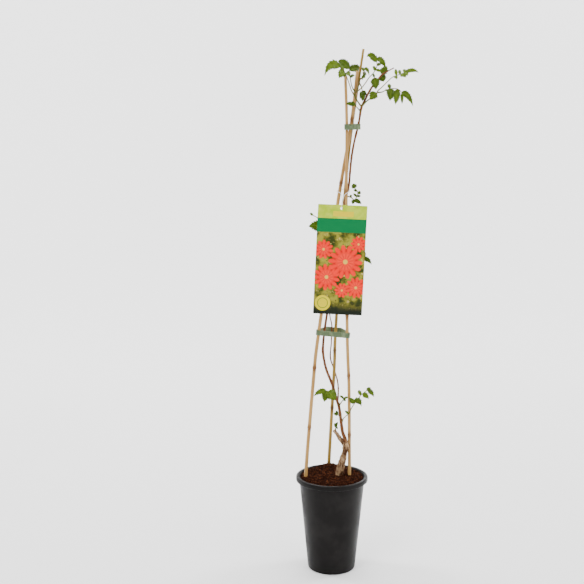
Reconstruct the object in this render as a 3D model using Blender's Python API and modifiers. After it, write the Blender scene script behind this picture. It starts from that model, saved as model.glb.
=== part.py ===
"""A young trumpet vine in its nursery pot: three bamboo canes held by two strip clips, a gnarled
woody stem with leafy shoots, and a printed hang tag on a white tie.

Metres, +Z up. The origin is the centre of the pot's flat base, and -Y is the front.
"""

import math

import bmesh
import bpy
from mathutils import Vector, noise

MM = 0.001
GAP = 0.3 * MM

# Pot, in millimetres from the axis and from the ground
POT_HEIGHT = 188.0
POT_RIM_RADIUS = 70.0
POT_MOUTH_RADIUS = 62.0
POT_BASE_RADIUS = 46.2
POT_SHOULDER_RADIUS = 63.4
POT_LIP_DEPTH = 9.0
POT_WALL = 1.5
POT_FLOOR = 1.8
POT_STEPS = 36
DRAIN_HOLES = 6
DRAIN_RADIUS = 4.0
DRAIN_CIRCLE = 33.0

# Soil: a flat mound with a heap against the back of the pot, and lumps all over
SOIL_EDGE = 184.2
SOIL_MOUND = 4.6
SOIL_HEAP = 8.0
SOIL_HEAP_X, SOIL_HEAP_Y, SOIL_HEAP_WIDTH = -4.0, 45.0, 16.0
SOIL_SHOULDER_POWER = 8
SOIL_LUMP = 1.1
SOIL_RINGS = (12, 24, 36, 46, 53, 58)

# Canes: route points in millimetres from the foot in the soil to the top
CANE_LEFT = ((-49.3, -9, 108), (-51.2, -8, 188), (-36.8, -4, 380), (-27.4, -3, 470),
             (7.8, 3, 720), (31.5, 4, 864), (42.4, 1, 964))
CANE_RIGHT = ((35.2, -1, 82), (34.2, -2, 189), (31.9, -2, 360), (27.6, -4, 467),
              (23.5, -6, 721), (23.3, -7, 862), (19.8, -7, 957))
CANE_BACK = ((-5.5, 48.5, 112), (-4.3, 50, 196), (4.4, 36, 390), (6.5, 30.5, 469),
             (20.7, 16, 725), (33.8, 11.5, 862), (53.5, 9, 1004))
CANE_RADII = {"left": (3.5, 3.1), "right": (3.3, 2.7), "back": (3.4, 2.3)}
CANE_JOINT_SPACING = 118.0
CANE_JOINT_SWELL = 1.17

# Woody stem: x, y, z and radius in millimetres
TRUNK = ((11, 1, 168, 6.5), (14, 0, 189, 7.4), (17.2, -4.5, 208, 6.9), (20.5, -7.5, 222, 6.1),
         (24.3, -10, 238, 4.7), (27.2, -11, 249, 4.6), (27.8, -10.6, 256, 4.4))
CUT_STUB = ((27, -10.5, 249, 4.2), (20.5, -8, 257, 4.0), (11.5, -4, 269, 3.4), (3.5, -1, 279.5, 2.8))
MAIN_STEM = ((28.3, -10.6, 251, 4.2), (25.2, -8.5, 263, 3.4), (19.8, -4, 278, 3.1), (15.9, 1.5, 306, 2.7),
             (12.7, 5.5, 326, 2.6), (8.4, 7, 339, 2.5), (0.7, 8, 366, 2.4), (-11.4, 9, 397, 2.3),
             (-16.5, 9, 419, 2.2), (-18.5, 9, 437, 2.1), (-16.4, 9, 466, 2.0), (-11, 9, 507, 2.0),
             (5, 8, 614, 1.9), (20.3, 6, 718, 1.9), (28.4, 7, 752, 1.9), (31, 8, 782, 1.8),
             (33.6, 8, 808, 1.8), (38, 6.5, 834, 1.8), (44.3, 3, 862, 1.9), (47.4, 1.5, 880, 1.9),
             (50.1, 0, 897, 2.2), (56, -1, 910, 1.9), (67.4, -3, 932.5, 1.7), (79.4, -4, 948, 1.5),
             (88, -4.5, 958, 1.3), (99.7, -5, 965, 1.0), (109.5, -5, 970, 0.8))
THIN_STEM = ((10.5, 6.5, 332, 1.5), (12, 20, 346, 1.4), (11.8, 37, 364, 1.3), (5, 45.5, 388, 1.2),
             (-3, 39, 414, 1.2), (-1.5, 31.5, 448, 1.1), (-1, 30.5, 480, 1.1), (-5.5, 24, 507, 1.1),
             (-4, 17, 560, 1.1), (0, 14, 620, 1.0), (2, 12.5, 668, 0.9))
BARK_RELIEF = 0.7
BARK_TOP = 262.0

# Strip clips: each goes round the canes' centres and its own corners, as x, y and radius
CLIP_HEIGHT = 10.0
CLIP_WALL = 1.1
CLIP_STEPS = 28
CLIP_LOWER_CENTRE = (0.0, 0.0, 471.0)
CLIP_LOWER_TILT = 5.4
CLIP_LOWER_CORNERS = ((-27.3, -3.1, 3.9), (27.6, -4.1, 4.2), (15.0, 31.5, 2.5), (-9.0, 31.5, 2.5))
CLIP_UPPER_CENTRE = (32.0, 3.0, 862.5)
CLIP_UPPER_CORNERS = ((-8.7, -10.0, 3.7), (-0.8, -13.5, 1.0), (12.6, 0.0, 3.7), (3.0, 12.5, 2.2),
                      (1.8, 8.5, 3.4))

# Hang tag, in millimetres from its punched hole
TAG_LEFT, TAG_RIGHT = -44.0, 48.0
TAG_TOP, TAG_BOTTOM = 6.4, -200.0
TAG_THICKNESS = 0.6
TAG_HOLE_RADIUS = 2.5
TAG_HOLE_PLACE = (14.6, -13.5, 712.3)
TAG_ROLL, TAG_LEAN = 2.6, -3.0

# White tie: a closed loop round the bundle and through the tag's hole
TIE_RADIUS = 0.55
TIE_ROUTE = ((14.6, -13.5, 713.1), (14.6, -14.5, 713.5), (14.6, -15.2, 715.5), (14.9, -15.4, 719.5),
             (15.6, -13.8, 728),
             (14.2, -9.0, 737.5), (10.6, -2.9, 741), (6.2, 2.2, 742), (8.2, 8.5, 743.5),
             (15.0, 16.0, 744.5), (21.8, 19.6, 745), (26.6, 15.8, 745), (29.8, 9.2, 745),
             (29.6, 1.0, 744.5), (28.8, -7.2, 743), (24.4, -11.3, 741), (19.2, -11.4, 736),
             (16.8, -11.6, 727), (15.0, -12.0, 719.5), (14.6, -12.0, 715.5), (14.6, -12.6, 713.5))

# Leaves
BLADE_THICKNESS = 0.7
BLADE_ROWS_LARGE, BLADE_ROWS_SMALL = 7, 4
BLADE_LARGE_LENGTH = 13.0
BLADE_KEEL = 0.32
BLADE_TOOTH = 0.15
BLADE_TAPER = 0.58
BLADE_CREST_PLACE = 0.65
BLADE_ROOT_HALF_WIDTH = 0.7
STALK_RADII = (0.95, 0.7)
SEAT_STEPS = 40

# The two green shoots, as x, y, z and radius
SHOOT_LEFT = ((49, -3, 900, 1.4), (43, -6.5, 909, 1.3), (38.4, -7.5, 917, 1.4), (38.2, -7, 924, 1.3),
              (43, -4.5, 933, 1.2), (46.4, 2.4, 944, 1.1), (47.4, 4, 954, 1.0), (48.3, 4.3, 962, 0.9))
SHOOT_RIGHT = ((52, -3, 901, 1.4), (58, -5, 908, 1.3), (64, -6.5, 913, 1.3), (71, -8, 918, 1.2),
               (77, -8.6, 923, 1.1), (79.4, -8.8, 925.6, 1.0))

# Fronds. Each has the stem that it grows on, its stalk's points, the way its blades face, and its
# leaflets: how far along the stalk, the tip from the root, width and arch, all in millimetres.
FRONDS = {
    "frond_crown_left": (
        "shoot_left", ((35, -10, 919.5), (31, -13, 929), (27.5, -15, 939), (23, -18, 951), (19, -22, 960),
                       (15.5, -25, 966), (8.5, -28, 971)), (0.15, -1, 0.3),
        ((0.99, (-28, -12, -15), 14, 12), (0.72, (-11, -12, -11), 14, 3), (0.63, (6, -16, -4), 10, 3),
         (0.8, (-8, 10, 9), 5, 2))),
    "frond_crown_rear": (
        "shoot_left", ((36, -5.5, 927), (32.5, -1, 936), (30, 5, 948), (28.5, 9, 960), (28, 10, 968)),
        (-0.2, -1, 0.25),
        ((1.0, (-21, 8, 13), 13, 4), (0.88, (22, 13, 3), 13, 3), (0.6, (8, -11, 3), 5, 1))),
    "frond_crown_small": (
        "shoot_left", ((50, 2, 949), (52, 0, 954), (54, -1, 962), (55, -2, 967)), (0.3, -1, 0.3),
        ((1.0, (9, -1, -12), 6, 6), (0.7, (-3, 8, 8), 5, 1), (0.45, (6, 10, 4), 7, 1),
         (0.2, (6, -8, 0), 8, 1))),
    "frond_fork_dark": (
        "shoot_left", ((49.5, 1.5, 940), (50, -0.5, 935), (51, -3, 930), (52, -4, 926)), (0, -1, 0.2),
        ((1.0, (0, -4, -17), 9, 1), (0.85, (-5, -8, -13), 6, 1), (0.8, (8, 5, -9), 6, 1))),
    "frond_upper": (
        "shoot_left", ((42, -9, 925), (49, -10, 933), (57, -9.5, 943), (63, -8, 952), (70, -6, 959),
                       (75, -4, 966), (78, -2, 974), (77, 0, 984)), (0.1, -1, 0.35),
        ((0.94, (-19, -8, 9), 11, 6), (0.99, (18, 7, -17), 10, 8), (0.68, (-2, 6, 9), 5, 1),
         (0.85, (9, 11, 4), 5, 1), (0.72, (13, -5, -5), 5, 1))),
    "frond_stem_pair": (
        "main_stem", ((74, -7, 946), (73.5, -9.5, 949), (73, -10, 953)), (0.1, -1, 0.15),
        ((0.9, (3, 0, -22), 14, 1), (0.95, (-3, -1, 7), 4, 0))),
    "frond_stem_rear": (
        "main_stem", ((84, -1, 956), (87, 3, 958)), (0.1, -1, 0.3),
        ((0.95, (10, -1, 15), 12, 0), (0.55, (5, 1, -12), 13, 0))),
    "frond_bract": (
        "shoot_right", ((75.5, -11, 922), (76, -14, 926)), (0, -1, 0.4), ((0.9, (-10, -1, -14), 14, 1),)),
    "frond_right_long": (
        "shoot_right", ((78, -8.8, 927.2), (80.5, -9, 929.5), (86, -9.5, 934), (92, -10, 940), (99, -11, 947),
                        (106, -12, 953), (116, -13, 957), (125, -13, 960), (129, -13, 962)),
        (0, -1, 0.45),
        ((1.0, (24, -3, -1), 7, 4), (0.95, (5, -11, -6), 7, 1), (0.81, (9, -11, -6), 9, 1),
         (0.68, (3, -10, -6), 6, 1), (0.71, (-1, 6, 12), 5, 1), (0.79, (0, 9, 8), 5, 1),
         (0.92, (3, 10, 6), 6, 1))),
    "frond_right_hanging": (
        "shoot_right", ((82.4, -11.4, 923.5), (88, -12, 926.5), (94, -13, 929.5), (104, -15, 932.5),
                        (116, -19, 931.5), (123, -22, 924.5)), (0.1, -1, 0.15),
        ((0.6, (-3, -7, -22), 14, 1), (0.54, (-1, 6, 9), 6, 1), (0.45, (-3, -8, -2), 5, 0),
         (0.78, (-4, -6, -28), 11, 1), (0.98, (1, 2, -20), 5, 0), (0.95, (21, -6, -25), 10, 7))),
    "frond_fork_left": (
        "main_stem", ((46, -5, 891), (42, -8.5, 898), (37, -11, 902)), (0, -1, 0.3),
        ((1.0, (-16, -4, 2), 7, 2), (0.75, (-8, -3, 9), 4, 1))),
    "frond_above_tag": (
        "main_stem", ((28.5, 8.5, 733), (33.5, 10, 730), (39, 8, 726), (44, 7, 732), (45, 6, 741), (40, 5, 748)),
        (0, -1, 0.2),
        ((1.0, (-4, -2, 9), 9, 0), (0.8, (6, -4, -3), 6, 0), (0.83, (-7, 2, 3), 4, 0),
         (0.6, (-7, 3, 6), 4, 0), (0.62, (7, -3, 1), 4, 0), (0.35, (-2, -6, -8), 6, 0),
         (0.42, (13, -4, -8), 7, 1), (0.15, (3, 4, 4), 4, 0))),
    "frond_mid_left": (
        "thin_stem", ((0, 10, 662), (-7, 7, 666), (-15, 4, 674), (-23, 0, 684), (-31, -1, 693.5),
                      (-39, -2, 698)), (0, -1, 0.2),
        ((0.98, (-6, -1, 5), 4, 0), (0.42, (-31, -7, 2), 18, 2), (0.15, (-6, -3, 21), 12, 1),
         (0.27, (-11, -6, -16), 12, 1))),
    "frond_mid_right": (
        "main_stem", ((21, 7, 588), (36, 5, 597), (49, 0, 611), (56, -3, 616)), (0, -1, 0.3),
        ((1.0, (16, -4, -11), 8, 4), (0.85, (6, 4, 15), 9, 1), (0.65, (7, -5, -13), 10, 1))),
    "frond_low_left": (
        "main_stem", ((9, 2.5, 343), (2, -1, 351), (-7, -3, 357), (-12, -4, 359)), (0, -1, 0.3),
        ((1.0, (-24, -9, -9), 9, 4), (0.9, (-5, -8, -20), 13, 1), (0.75, (14, -12, -15), 18, 1))),
    "frond_low_right": (
        "main_stem", ((20.5, -2, 297), (22, -6, 305), (32, -10.5, 316), (37, -11, 327), (44, -11, 338),
                      (54, -10, 351), (62, -9, 358), (68, -9, 362)), (0, -1, 0.35),
        ((0.56, (12, -4, -7), 11, 8), (0.54, (-11, -5, 12), 8, 1), (0.72, (-5, 4, 9), 6, 1),
         (0.77, (12, -5, -9), 9, 2), (0.98, (12, -4, -13), 8, 3),
         (0.92, (9, 8, 3), 6, 1), (0.26, (-7, -5, 8), 4, 1))),
    "frond_low_inner": (
        "main_stem", ((15.5, 3, 329), (19, 0, 337), (22, -4, 343)), (0, -1, 0.3),
        ((1.0, (8, -8, 5), 4, 1), (1.0, (-9, -4, 7), 4, 1), (0.75, (5, -7, -1), 4, 1))),
    "frond_stem_bud": (
        "main_stem", ((12, 0.5, 308), (10, -1, 311)), (0, -1, 0.3),
        ((0.6, (-9, -5, 3), 6, 1), (0.9, (-3, -2, 8), 4, 1))),
    "frond_stub_sprout": (
        "cut_stub", ((8, -4, 281), (6.5, -4.5, 287)), (0, -1, 0.2),
        ((1.0, (4, -4, 11), 4, 1), (0.8, (-2, 2, 8), 4, 1), (0.9, (4, -7, -2), 4, 1))),
}

# Colours as linear red, green and blue, with roughness
FINISHES = {
    "pot_black": ((0.012, 0.012, 0.013), 0.38),
    "peat_soil": ((0.045, 0.018, 0.010), 0.95),
    "bamboo": ((0.62, 0.40, 0.18), 0.48),
    "bamboo_green": ((0.44, 0.28, 0.08), 0.5),
    "bark": ((0.34, 0.16, 0.07), 0.8),
    "green_shoot": ((0.26, 0.30, 0.05), 0.55),
    "leaf": ((0.22, 0.38, 0.02), 0.5),
    "clip_plastic": ((0.16, 0.22, 0.13), 0.45),
    "tag_card": ((0.55, 0.70, 0.18), 0.4),
    "white_tie": ((0.85, 0.84, 0.78), 0.6),
}


def make_collection(name):
    collection = bpy.data.collections.new(name)
    bpy.context.scene.collection.children.link(collection)
    return collection


def clear_scene():
    for old in list(bpy.data.objects):
        bpy.data.objects.remove(old)


def make_material(name):
    colour, roughness = FINISHES[name]
    material = bpy.data.materials.get(name) or bpy.data.materials.new(name)
    material.use_nodes = True
    shader = material.node_tree.nodes["Principled BSDF"]
    shader.inputs["Base Color"].default_value = (*colour, 1.0)
    shader.inputs["Roughness"].default_value = roughness
    shader.inputs["Metallic"].default_value = 0.0
    return material


def add_object(name, data, finish, collection):
    part = bpy.data.objects.new(name, data)
    part.data.materials.clear()
    part.data.materials.append(make_material(finish))
    collection.objects.link(part)
    return part


def solid_mesh(part):
    """The object's shape with its modifiers, as a new mesh in its own space; a tube's caps are welded on."""
    depsgraph = bpy.context.evaluated_depsgraph_get()
    mesh = bpy.data.meshes.new_from_object(part.evaluated_get(depsgraph))
    if part.type == "CURVE":
        shape = bmesh.new()
        shape.from_mesh(mesh)
        bmesh.ops.remove_doubles(shape, verts=shape.verts, dist=0.00001)
        shape.to_mesh(mesh)
        shape.free()
    return mesh


def make_solid(part, finish, collection):
    """Replaces an object by a plain mesh object of the same name, place and shape."""
    name, place = part.name, part.matrix_world.copy()
    mesh = solid_mesh(part)
    bpy.data.objects.remove(part)
    solid = add_object(name, mesh, finish, collection)
    solid.matrix_world = place
    return solid


def shade_round(part, angle=40):
    part.data.shade_smooth()
    part.data.set_sharp_from_angle(angle=math.radians(angle))


def between(points, place):
    """A point of the smooth curve through the points; place counts points from the first."""
    last = len(points) - 1
    index = min(int(place), last - 1)
    t = place - index
    before, start = points[max(index - 1, 0)], points[index]
    end, after = points[index + 1], points[min(index + 2, last)]
    return tuple(
        0.5 * (2 * b + (c - a) * t + (2 * a - 5 * b + 4 * c - d) * t**2 + (3 * b - a - 3 * c + d) * t**3)
        for a, b, c, d in zip(before, start, end, after))


def smooth_route(points, per_span):
    steps = (len(points) - 1) * per_span
    return [between(points, step / per_span) for step in range(steps + 1)]


def along_spans(route):
    """Closely spaced points on the straight spans of a route, ends included."""
    return [tuple(a + (b - a) * step / SEAT_STEPS for a, b in zip(start, end))
            for start, end in zip(route, route[1:]) for step in range(SEAT_STEPS + 1)]


def tube(name, route, finish, collection, resolution=2, closed=False):
    """A round tube along a route of x, y, z and radius in millimetres."""
    curve = bpy.data.curves.new(name, "CURVE")
    curve.dimensions = "3D"
    curve.bevel_depth = MM
    curve.bevel_resolution = resolution
    curve.use_fill_caps = True
    spline = curve.splines.new("POLY")
    spline.points.add(len(route) - 1)
    for point, (x, y, z, radius) in zip(spline.points, route):
        point.co = (x * MM, y * MM, z * MM, 1.0)
        point.radius = radius
    spline.use_cyclic_u = closed
    spline.use_smooth = True
    return add_object(name, curve, finish, collection)


def linked_faces(first):
    """All the faces that can be reached from the first one over shared edges."""
    found, waiting = {first}, [first]
    while waiting:
        for edge in waiting.pop().edges:
            fresh = [face for face in edge.link_faces if face not in found]
            found.update(fresh)
            waiting.extend(fresh)
    return found


def keep_largest_shell(mesh):
    """Drops loose scraps and fills the hollows that a union sealed."""
    shape = bmesh.new()
    shape.from_mesh(mesh)
    shells, left = [], set(shape.faces)
    while left:
        shells.append(linked_faces(next(iter(left))))
        left -= shells[-1]
    largest = max(shells, key=len)
    scraps = [face for shell in shells if shell is not largest for face in shell]
    bmesh.ops.delete(shape, geom=scraps, context="FACES")
    shape.to_mesh(mesh)
    shape.free()


def unite(base, repeats, finish, collection):
    """Joins all the objects of a collection to the base in one solid, and removes them."""
    union = base.modifiers.new("grown together", "BOOLEAN")
    union.operation = "UNION"
    union.solver = "MANIFOLD"
    union.operand_type = "COLLECTION"
    union.collection = repeats
    solid = make_solid(base, finish, collection)
    for piece in list(repeats.objects):
        bpy.data.objects.remove(piece)
    bpy.data.collections.remove(repeats)
    keep_largest_shell(solid.data)
    shade_round(solid, 50)
    return solid


def cut_away(part, cutters):
    cut = part.modifiers.new("holes", "BOOLEAN")
    cut.operation = "DIFFERENCE"
    cut.operand_type = "COLLECTION"
    cut.collection = cutters


def turned(name, profile, steps, finish, collection):
    """A closed round solid from a profile of radius and height in millimetres."""
    mesh = bpy.data.meshes.new(name)
    points = [(radius * MM, 0.0, height * MM) for radius, height in profile]
    mesh.from_pydata(points, [(i, i + 1) for i in range(len(points) - 1)], [])
    part = add_object(name, mesh, finish, collection)
    screw = part.modifiers.new("turn", "SCREW")
    screw.steps = screw.render_steps = steps
    screw.use_merge_vertices = True
    screw.merge_threshold = 0.00001
    screw.use_smooth_shade = True
    return part


def pot_outer_radius(height):
    return POT_BASE_RADIUS + (POT_SHOULDER_RADIUS - POT_BASE_RADIUS) * height / (POT_HEIGHT - POT_LIP_DEPTH)


def pot_inner_radius(height):
    return pot_outer_radius(height) - POT_WALL


def make_pot(collection, cutters):
    lip = POT_HEIGHT - POT_LIP_DEPTH
    rim, mouth, shoulder = POT_RIM_RADIUS, POT_MOUTH_RADIUS, POT_SHOULDER_RADIUS
    profile = (
        (0, POT_FLOOR), (pot_inner_radius(0) - 2.5, POT_FLOOR), (pot_inner_radius(4), 4.2),
        (mouth, lip + 5), (mouth + 1.2, POT_HEIGHT - 1.2), (mouth + 3.2, POT_HEIGHT),
        (rim - 1.8, POT_HEIGHT - 0.5), (rim, POT_HEIGHT - 2.8), (rim, lip + 1.2), (rim - 0.6, lip),
        (rim - 1.6, lip), (rim - 1.8, lip + 5.4), (rim - 3.4, lip + 6.8), (mouth + 3, lip + 6.8),
        (shoulder + 0.4, lip + 5.4), (shoulder, lip), (pot_outer_radius(6), 6),
        (POT_BASE_RADIUS - 0.6, 1.4), (POT_BASE_RADIUS - 2.2, 0), (0, 0))
    pot = turned("pot", profile, POT_STEPS, "pot_black", collection)
    for hole in range(DRAIN_HOLES):
        angle = math.tau * (hole + 0.5) / DRAIN_HOLES
        bpy.ops.mesh.primitive_cylinder_add(
            vertices=12, radius=DRAIN_RADIUS * MM, depth=8 * MM,
            location=(DRAIN_CIRCLE * MM * math.cos(angle), DRAIN_CIRCLE * MM * math.sin(angle), 0))
        keep_as_cutter(bpy.context.object, f"drain_{hole}", cutters)
    cut_away(pot, cutters)
    solid = make_solid(pot, "pot_black", collection)
    shade_round(solid, 35)


def keep_as_cutter(cutter, name, cutters):
    for holder in list(cutter.users_collection):
        holder.objects.unlink(cutter)
    cutters.objects.link(cutter)
    cutter.name = name
    cutter.hide_render = True
    cutter.display_type = "WIRE"


def soil_height(x, y):
    """The soil's surface over a point, all in millimetres."""
    radius = math.hypot(x, y)
    shoulder = 1 - (radius / (POT_MOUTH_RADIUS - 0.5)) ** SOIL_SHOULDER_POWER
    from_heap = math.hypot(x - SOIL_HEAP_X, y - SOIL_HEAP_Y) / SOIL_HEAP_WIDTH
    heap = SOIL_HEAP * math.exp(-0.5 * from_heap**2)
    lump = SOIL_LUMP * noise.noise(Vector((x, y, 0)) * 0.11)
    return SOIL_EDGE + (SOIL_MOUND + heap) * max(shoulder, 0) + lump * min(1, 4 * max(shoulder, 0))


def make_soil(collection, cutters):
    """The peat fills the pot to a clearance, with a plain hole for each cane and for the trunk."""
    clearance = GAP / MM
    floor = POT_FLOOR + clearance
    edge = pot_inner_radius(SOIL_EDGE - 8) - clearance - 0.2
    profile = [(0, SOIL_EDGE)] + [(ring, SOIL_EDGE) for ring in SOIL_RINGS]
    profile += [(edge, SOIL_EDGE), (edge, SOIL_EDGE - 6), (pot_inner_radius(5) - clearance - 0.1, 5),
                (pot_inner_radius(0) - 3.2, floor), (0, floor)]
    soil = turned("soil", profile, POT_STEPS, "peat_soil", collection)
    soil = make_solid(soil, "peat_soil", collection)
    for vert in soil.data.vertices:
        if vert.co.z > (SOIL_EDGE - 1) * MM:
            vert.co.z = soil_height(vert.co.x / MM, vert.co.y / MM) * MM
    cut_away(soil, cutters)
    soil = make_solid(soil, "peat_soil", collection)
    shade_round(soil, 50)


def cane_route(points, radii):
    """The cane's smooth line with a swelling at every joint."""
    line = smooth_route(points, 12)
    heights = [point[2] for point in line]
    foot, top = heights[0], heights[-1]
    joints = [foot + 60 + CANE_JOINT_SPACING * i for i in range(7) if foot + 60 + CANE_JOINT_SPACING * i < top - 20]
    stops = sorted({foot, top} | {z + step for z in joints for step in (-3, 0, 3)}
                   | {z + CANE_JOINT_SPACING / 2 for z in joints if z + CANE_JOINT_SPACING / 2 < top - 8})
    route = []
    for height in stops:
        index = max(i for i, z in enumerate(heights[:-1]) if z <= height)
        share = (height - heights[index]) / (heights[index + 1] - heights[index])
        x, y, z = (a + (b - a) * share for a, b in zip(line[index], line[index + 1]))
        radius = radii[0] + (radii[1] - radii[0]) * (height - foot) / (top - foot)
        route.append((x, y, z, radius * (CANE_JOINT_SWELL if height in joints else 1)))
    return route


def hole_cutter(name, route, widest, resolution, cutters):
    """A cutter for the plain hole of a stem: its route below the surface, wider by the clearance."""
    clearance = GAP / MM
    above = next(i for i, point in enumerate(route) if point[2] > SOIL_EDGE + 25)
    foot = (*route[0][:2], route[0][2] - clearance)
    cutter = tube(name, [(*point[:3], widest + clearance) for point in [foot] + route[1:above + 1]],
                  "bamboo", cutters, resolution)
    cutter = make_solid(cutter, "bamboo", cutters)
    keep_as_cutter(cutter, name, cutters)


def make_canes(collection, cutters):
    finishes = {"left": "bamboo", "right": "bamboo", "back": "bamboo_green"}
    for side, points in {"left": CANE_LEFT, "right": CANE_RIGHT, "back": CANE_BACK}.items():
        radii = CANE_RADII[side]
        route = cane_route(points, radii)
        tube(f"cane_{side}", route, finishes[side], collection)
        hole_cutter(f"cane_hole_{side}", route, radii[0] * CANE_JOINT_SWELL, 2, cutters)


def roughen(part, relief, lowest, highest):
    """Gnarls the bark between two heights."""
    for vert in part.data.vertices:
        height = vert.co.z / MM
        if lowest < height < highest:
            lump = noise.noise(Vector((vert.co.x, vert.co.y, vert.co.z * 0.45)) * 260)
            vert.co += vert.normal * relief * MM * lump


def make_woody_stem(collection, cutters):
    """Trunk, cut stub, main stem and thin stem, grown together as one solid."""
    branches = make_collection("branches")
    trunk = make_solid(tube("woody_stem", smooth_route(TRUNK, 2), "bark", collection, 3), "bark", collection)
    roughen(trunk, BARK_RELIEF * 2, SOIL_EDGE + 9, BARK_TOP)
    for name, points, per_span, resolution in (
            ("cut_stub", CUT_STUB, 2, 2), ("main_stem", MAIN_STEM, 1, 1), ("thin_stem", THIN_STEM, 1, 1)):
        branch = tube(name, smooth_route(points, per_span), "bark", branches, resolution)
        branch = make_solid(branch, "bark", branches)
        roughen(branch, BARK_RELIEF, SOIL_EDGE, BARK_TOP + 80)
    hole_cutter("trunk_hole", smooth_route(TRUNK, 2), max(point[3] for point in TRUNK), 3, cutters)
    unite(trunk, branches, "bark", collection)


def clip_outline(corners, offset):
    """The line of a strip pulled round the corners, as a closed list of points."""
    outline = []
    for step in range(CLIP_STEPS):
        angle = math.tau * step / CLIP_STEPS
        across, along = math.cos(angle), math.sin(angle)
        x, y, radius = max(corners, key=lambda c: c[0] * across + c[1] * along + c[2])
        outline.append(((x + (radius + offset) * across) * MM, (y + (radius + offset) * along) * MM))
    return outline


def make_clip(name, centre, corners, tilt, collection):
    curve = bpy.data.curves.new(name, "CURVE")
    curve.dimensions = "2D"
    curve.fill_mode = "BOTH"
    curve.extrude = CLIP_HEIGHT * MM / 2
    for offset in (CLIP_WALL, 0.0):
        outline = clip_outline(corners, offset)
        spline = curve.splines.new("POLY")
        spline.points.add(len(outline) - 1)
        spline.use_cyclic_u = True
        for point, (x, y) in zip(spline.points, outline):
            point.co = (x, y, 0.0, 1.0)
    clip = add_object(name, curve, "clip_plastic", collection)
    clip.location = Vector(centre) * MM
    clip.rotation_euler.y = math.radians(tilt)
    return clip


def make_tag(collection):
    curve = bpy.data.curves.new("hang_tag", "CURVE")
    curve.dimensions = "2D"
    curve.fill_mode = "BOTH"
    curve.extrude = TAG_THICKNESS * MM / 2
    corners = ((TAG_LEFT, TAG_BOTTOM), (TAG_RIGHT, TAG_BOTTOM), (TAG_RIGHT, TAG_TOP), (TAG_LEFT, TAG_TOP))
    punched = [(TAG_HOLE_RADIUS * math.cos(math.tau * i / 16), TAG_HOLE_RADIUS * math.sin(math.tau * i / 16))
               for i in range(16)]
    for outline in (corners, punched):
        spline = curve.splines.new("POLY")
        spline.points.add(len(outline) - 1)
        spline.use_cyclic_u = True
        for point, (x, y) in zip(spline.points, outline):
            point.co = (x * MM, y * MM, 0.0, 1.0)
    tag = add_object("hang_tag", curve, "tag_card", collection)
    tag.location = Vector(TAG_HOLE_PLACE) * MM
    tag.rotation_euler = (math.radians(90 + TAG_LEAN), math.radians(TAG_ROLL), 0)
    return tag


def make_tie(collection):
    route = [(*point, TIE_RADIUS) for point in TIE_ROUTE]
    tube("tag_tie", route, "white_tie", collection, 1, closed=True)


def blade_half_width(t, width, row):
    """Half the blade's width at t along it: broad near the root, a long drip tip, coarse teeth."""
    body = math.sin(math.pi * t**BLADE_TAPER) ** 0.9 if 0 < t < 1 else 0.0
    tooth = 1 + BLADE_TOOTH * (1 if row % 2 else -1)
    return max(width / 2 * body * tooth, BLADE_ROOT_HALF_WIDTH)


def leaflet(name, root, tip, width, arch, facing, collection):
    """A toothed blade, folded a little along its midrib and arched from root to tip."""
    rows = BLADE_ROWS_LARGE if (tip - root).length > BLADE_LARGE_LENGTH * MM else BLADE_ROWS_SMALL
    crest = root.lerp(tip, BLADE_CREST_PLACE) + Vector((0, 0, 2 * arch * MM))
    blade = bmesh.new()
    bmesh.ops.create_grid(blade, x_segments=2, y_segments=rows, size=1.0)
    for vert in blade.verts:
        across, t = vert.co.x, (vert.co.y + 1) / 2
        row = round(t * rows)
        centre = root * (1 - t) ** 2 + crest * (2 * t * (1 - t)) + tip * t**2
        along = ((crest - root) * (1 - t) + (tip - crest) * t).normalized()
        side = along.cross(facing).normalized()
        half = 0.0 if row == rows else blade_half_width(t, width, row) * MM
        lean = along * (abs(across) * (tip - root).length * 0.4 / rows if row % 2 else 0)
        vert.co = centre + side * across * half + side.cross(along) * abs(across) * half * BLADE_KEEL + lean
    bmesh.ops.remove_doubles(blade, verts=blade.verts, dist=0.00001)
    bmesh.ops.triangulate(blade, faces=blade.faces)
    mesh = bpy.data.meshes.new(name)
    blade.to_mesh(mesh)
    blade.free()
    part = add_object(name, mesh, "leaf", collection)
    shell = part.modifiers.new("blade thickness", "SOLIDIFY")
    shell.thickness = BLADE_THICKNESS * MM
    shell.offset = 0
    return part


def seat_on(stem, first, second, own_radius):
    """Where a stalk starts on its stem: its end's edge is at a clearance from the stem's skin."""
    first = Vector(first)
    x, y, z, radius = min(stem, key=lambda p: (Vector(p[:3]) - first).length)
    outward = (first - Vector((x, y, z))).normalized()
    slant = outward.cross((Vector(second) - first).normalized()).length
    return Vector((x, y, z)) + outward * (radius + GAP / MM + own_radius * slant)


def make_frond(name, stem, points, facing, leaflets, collection):
    """A leaf stalk that starts on its stem, with its leaflets sunk in it, as one solid."""
    start = seat_on(stem, points[0], points[1], STALK_RADII[0])
    points = [tuple(start)] + [tuple(point) for point in points[1:]]
    last = len(points) - 1
    route = []
    for step, point in enumerate(points):
        radius = STALK_RADII[0] + (STALK_RADII[1] - STALK_RADII[0]) * step / last
        route.append((*point, radius))
    stalk = make_solid(tube(name, route, "leaf", collection, 1), "leaf", collection)
    blades = make_collection(name + "_blades")
    for number, (along, offset, width, arch) in enumerate(leaflets):
        root = Vector(between(points, along * last)) * MM
        leaflet(f"{name}_{number}", root, root + Vector(offset) * MM, width, arch,
                Vector(facing).normalized(), blades)
    unite(stalk, blades, "leaf", collection)


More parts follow.
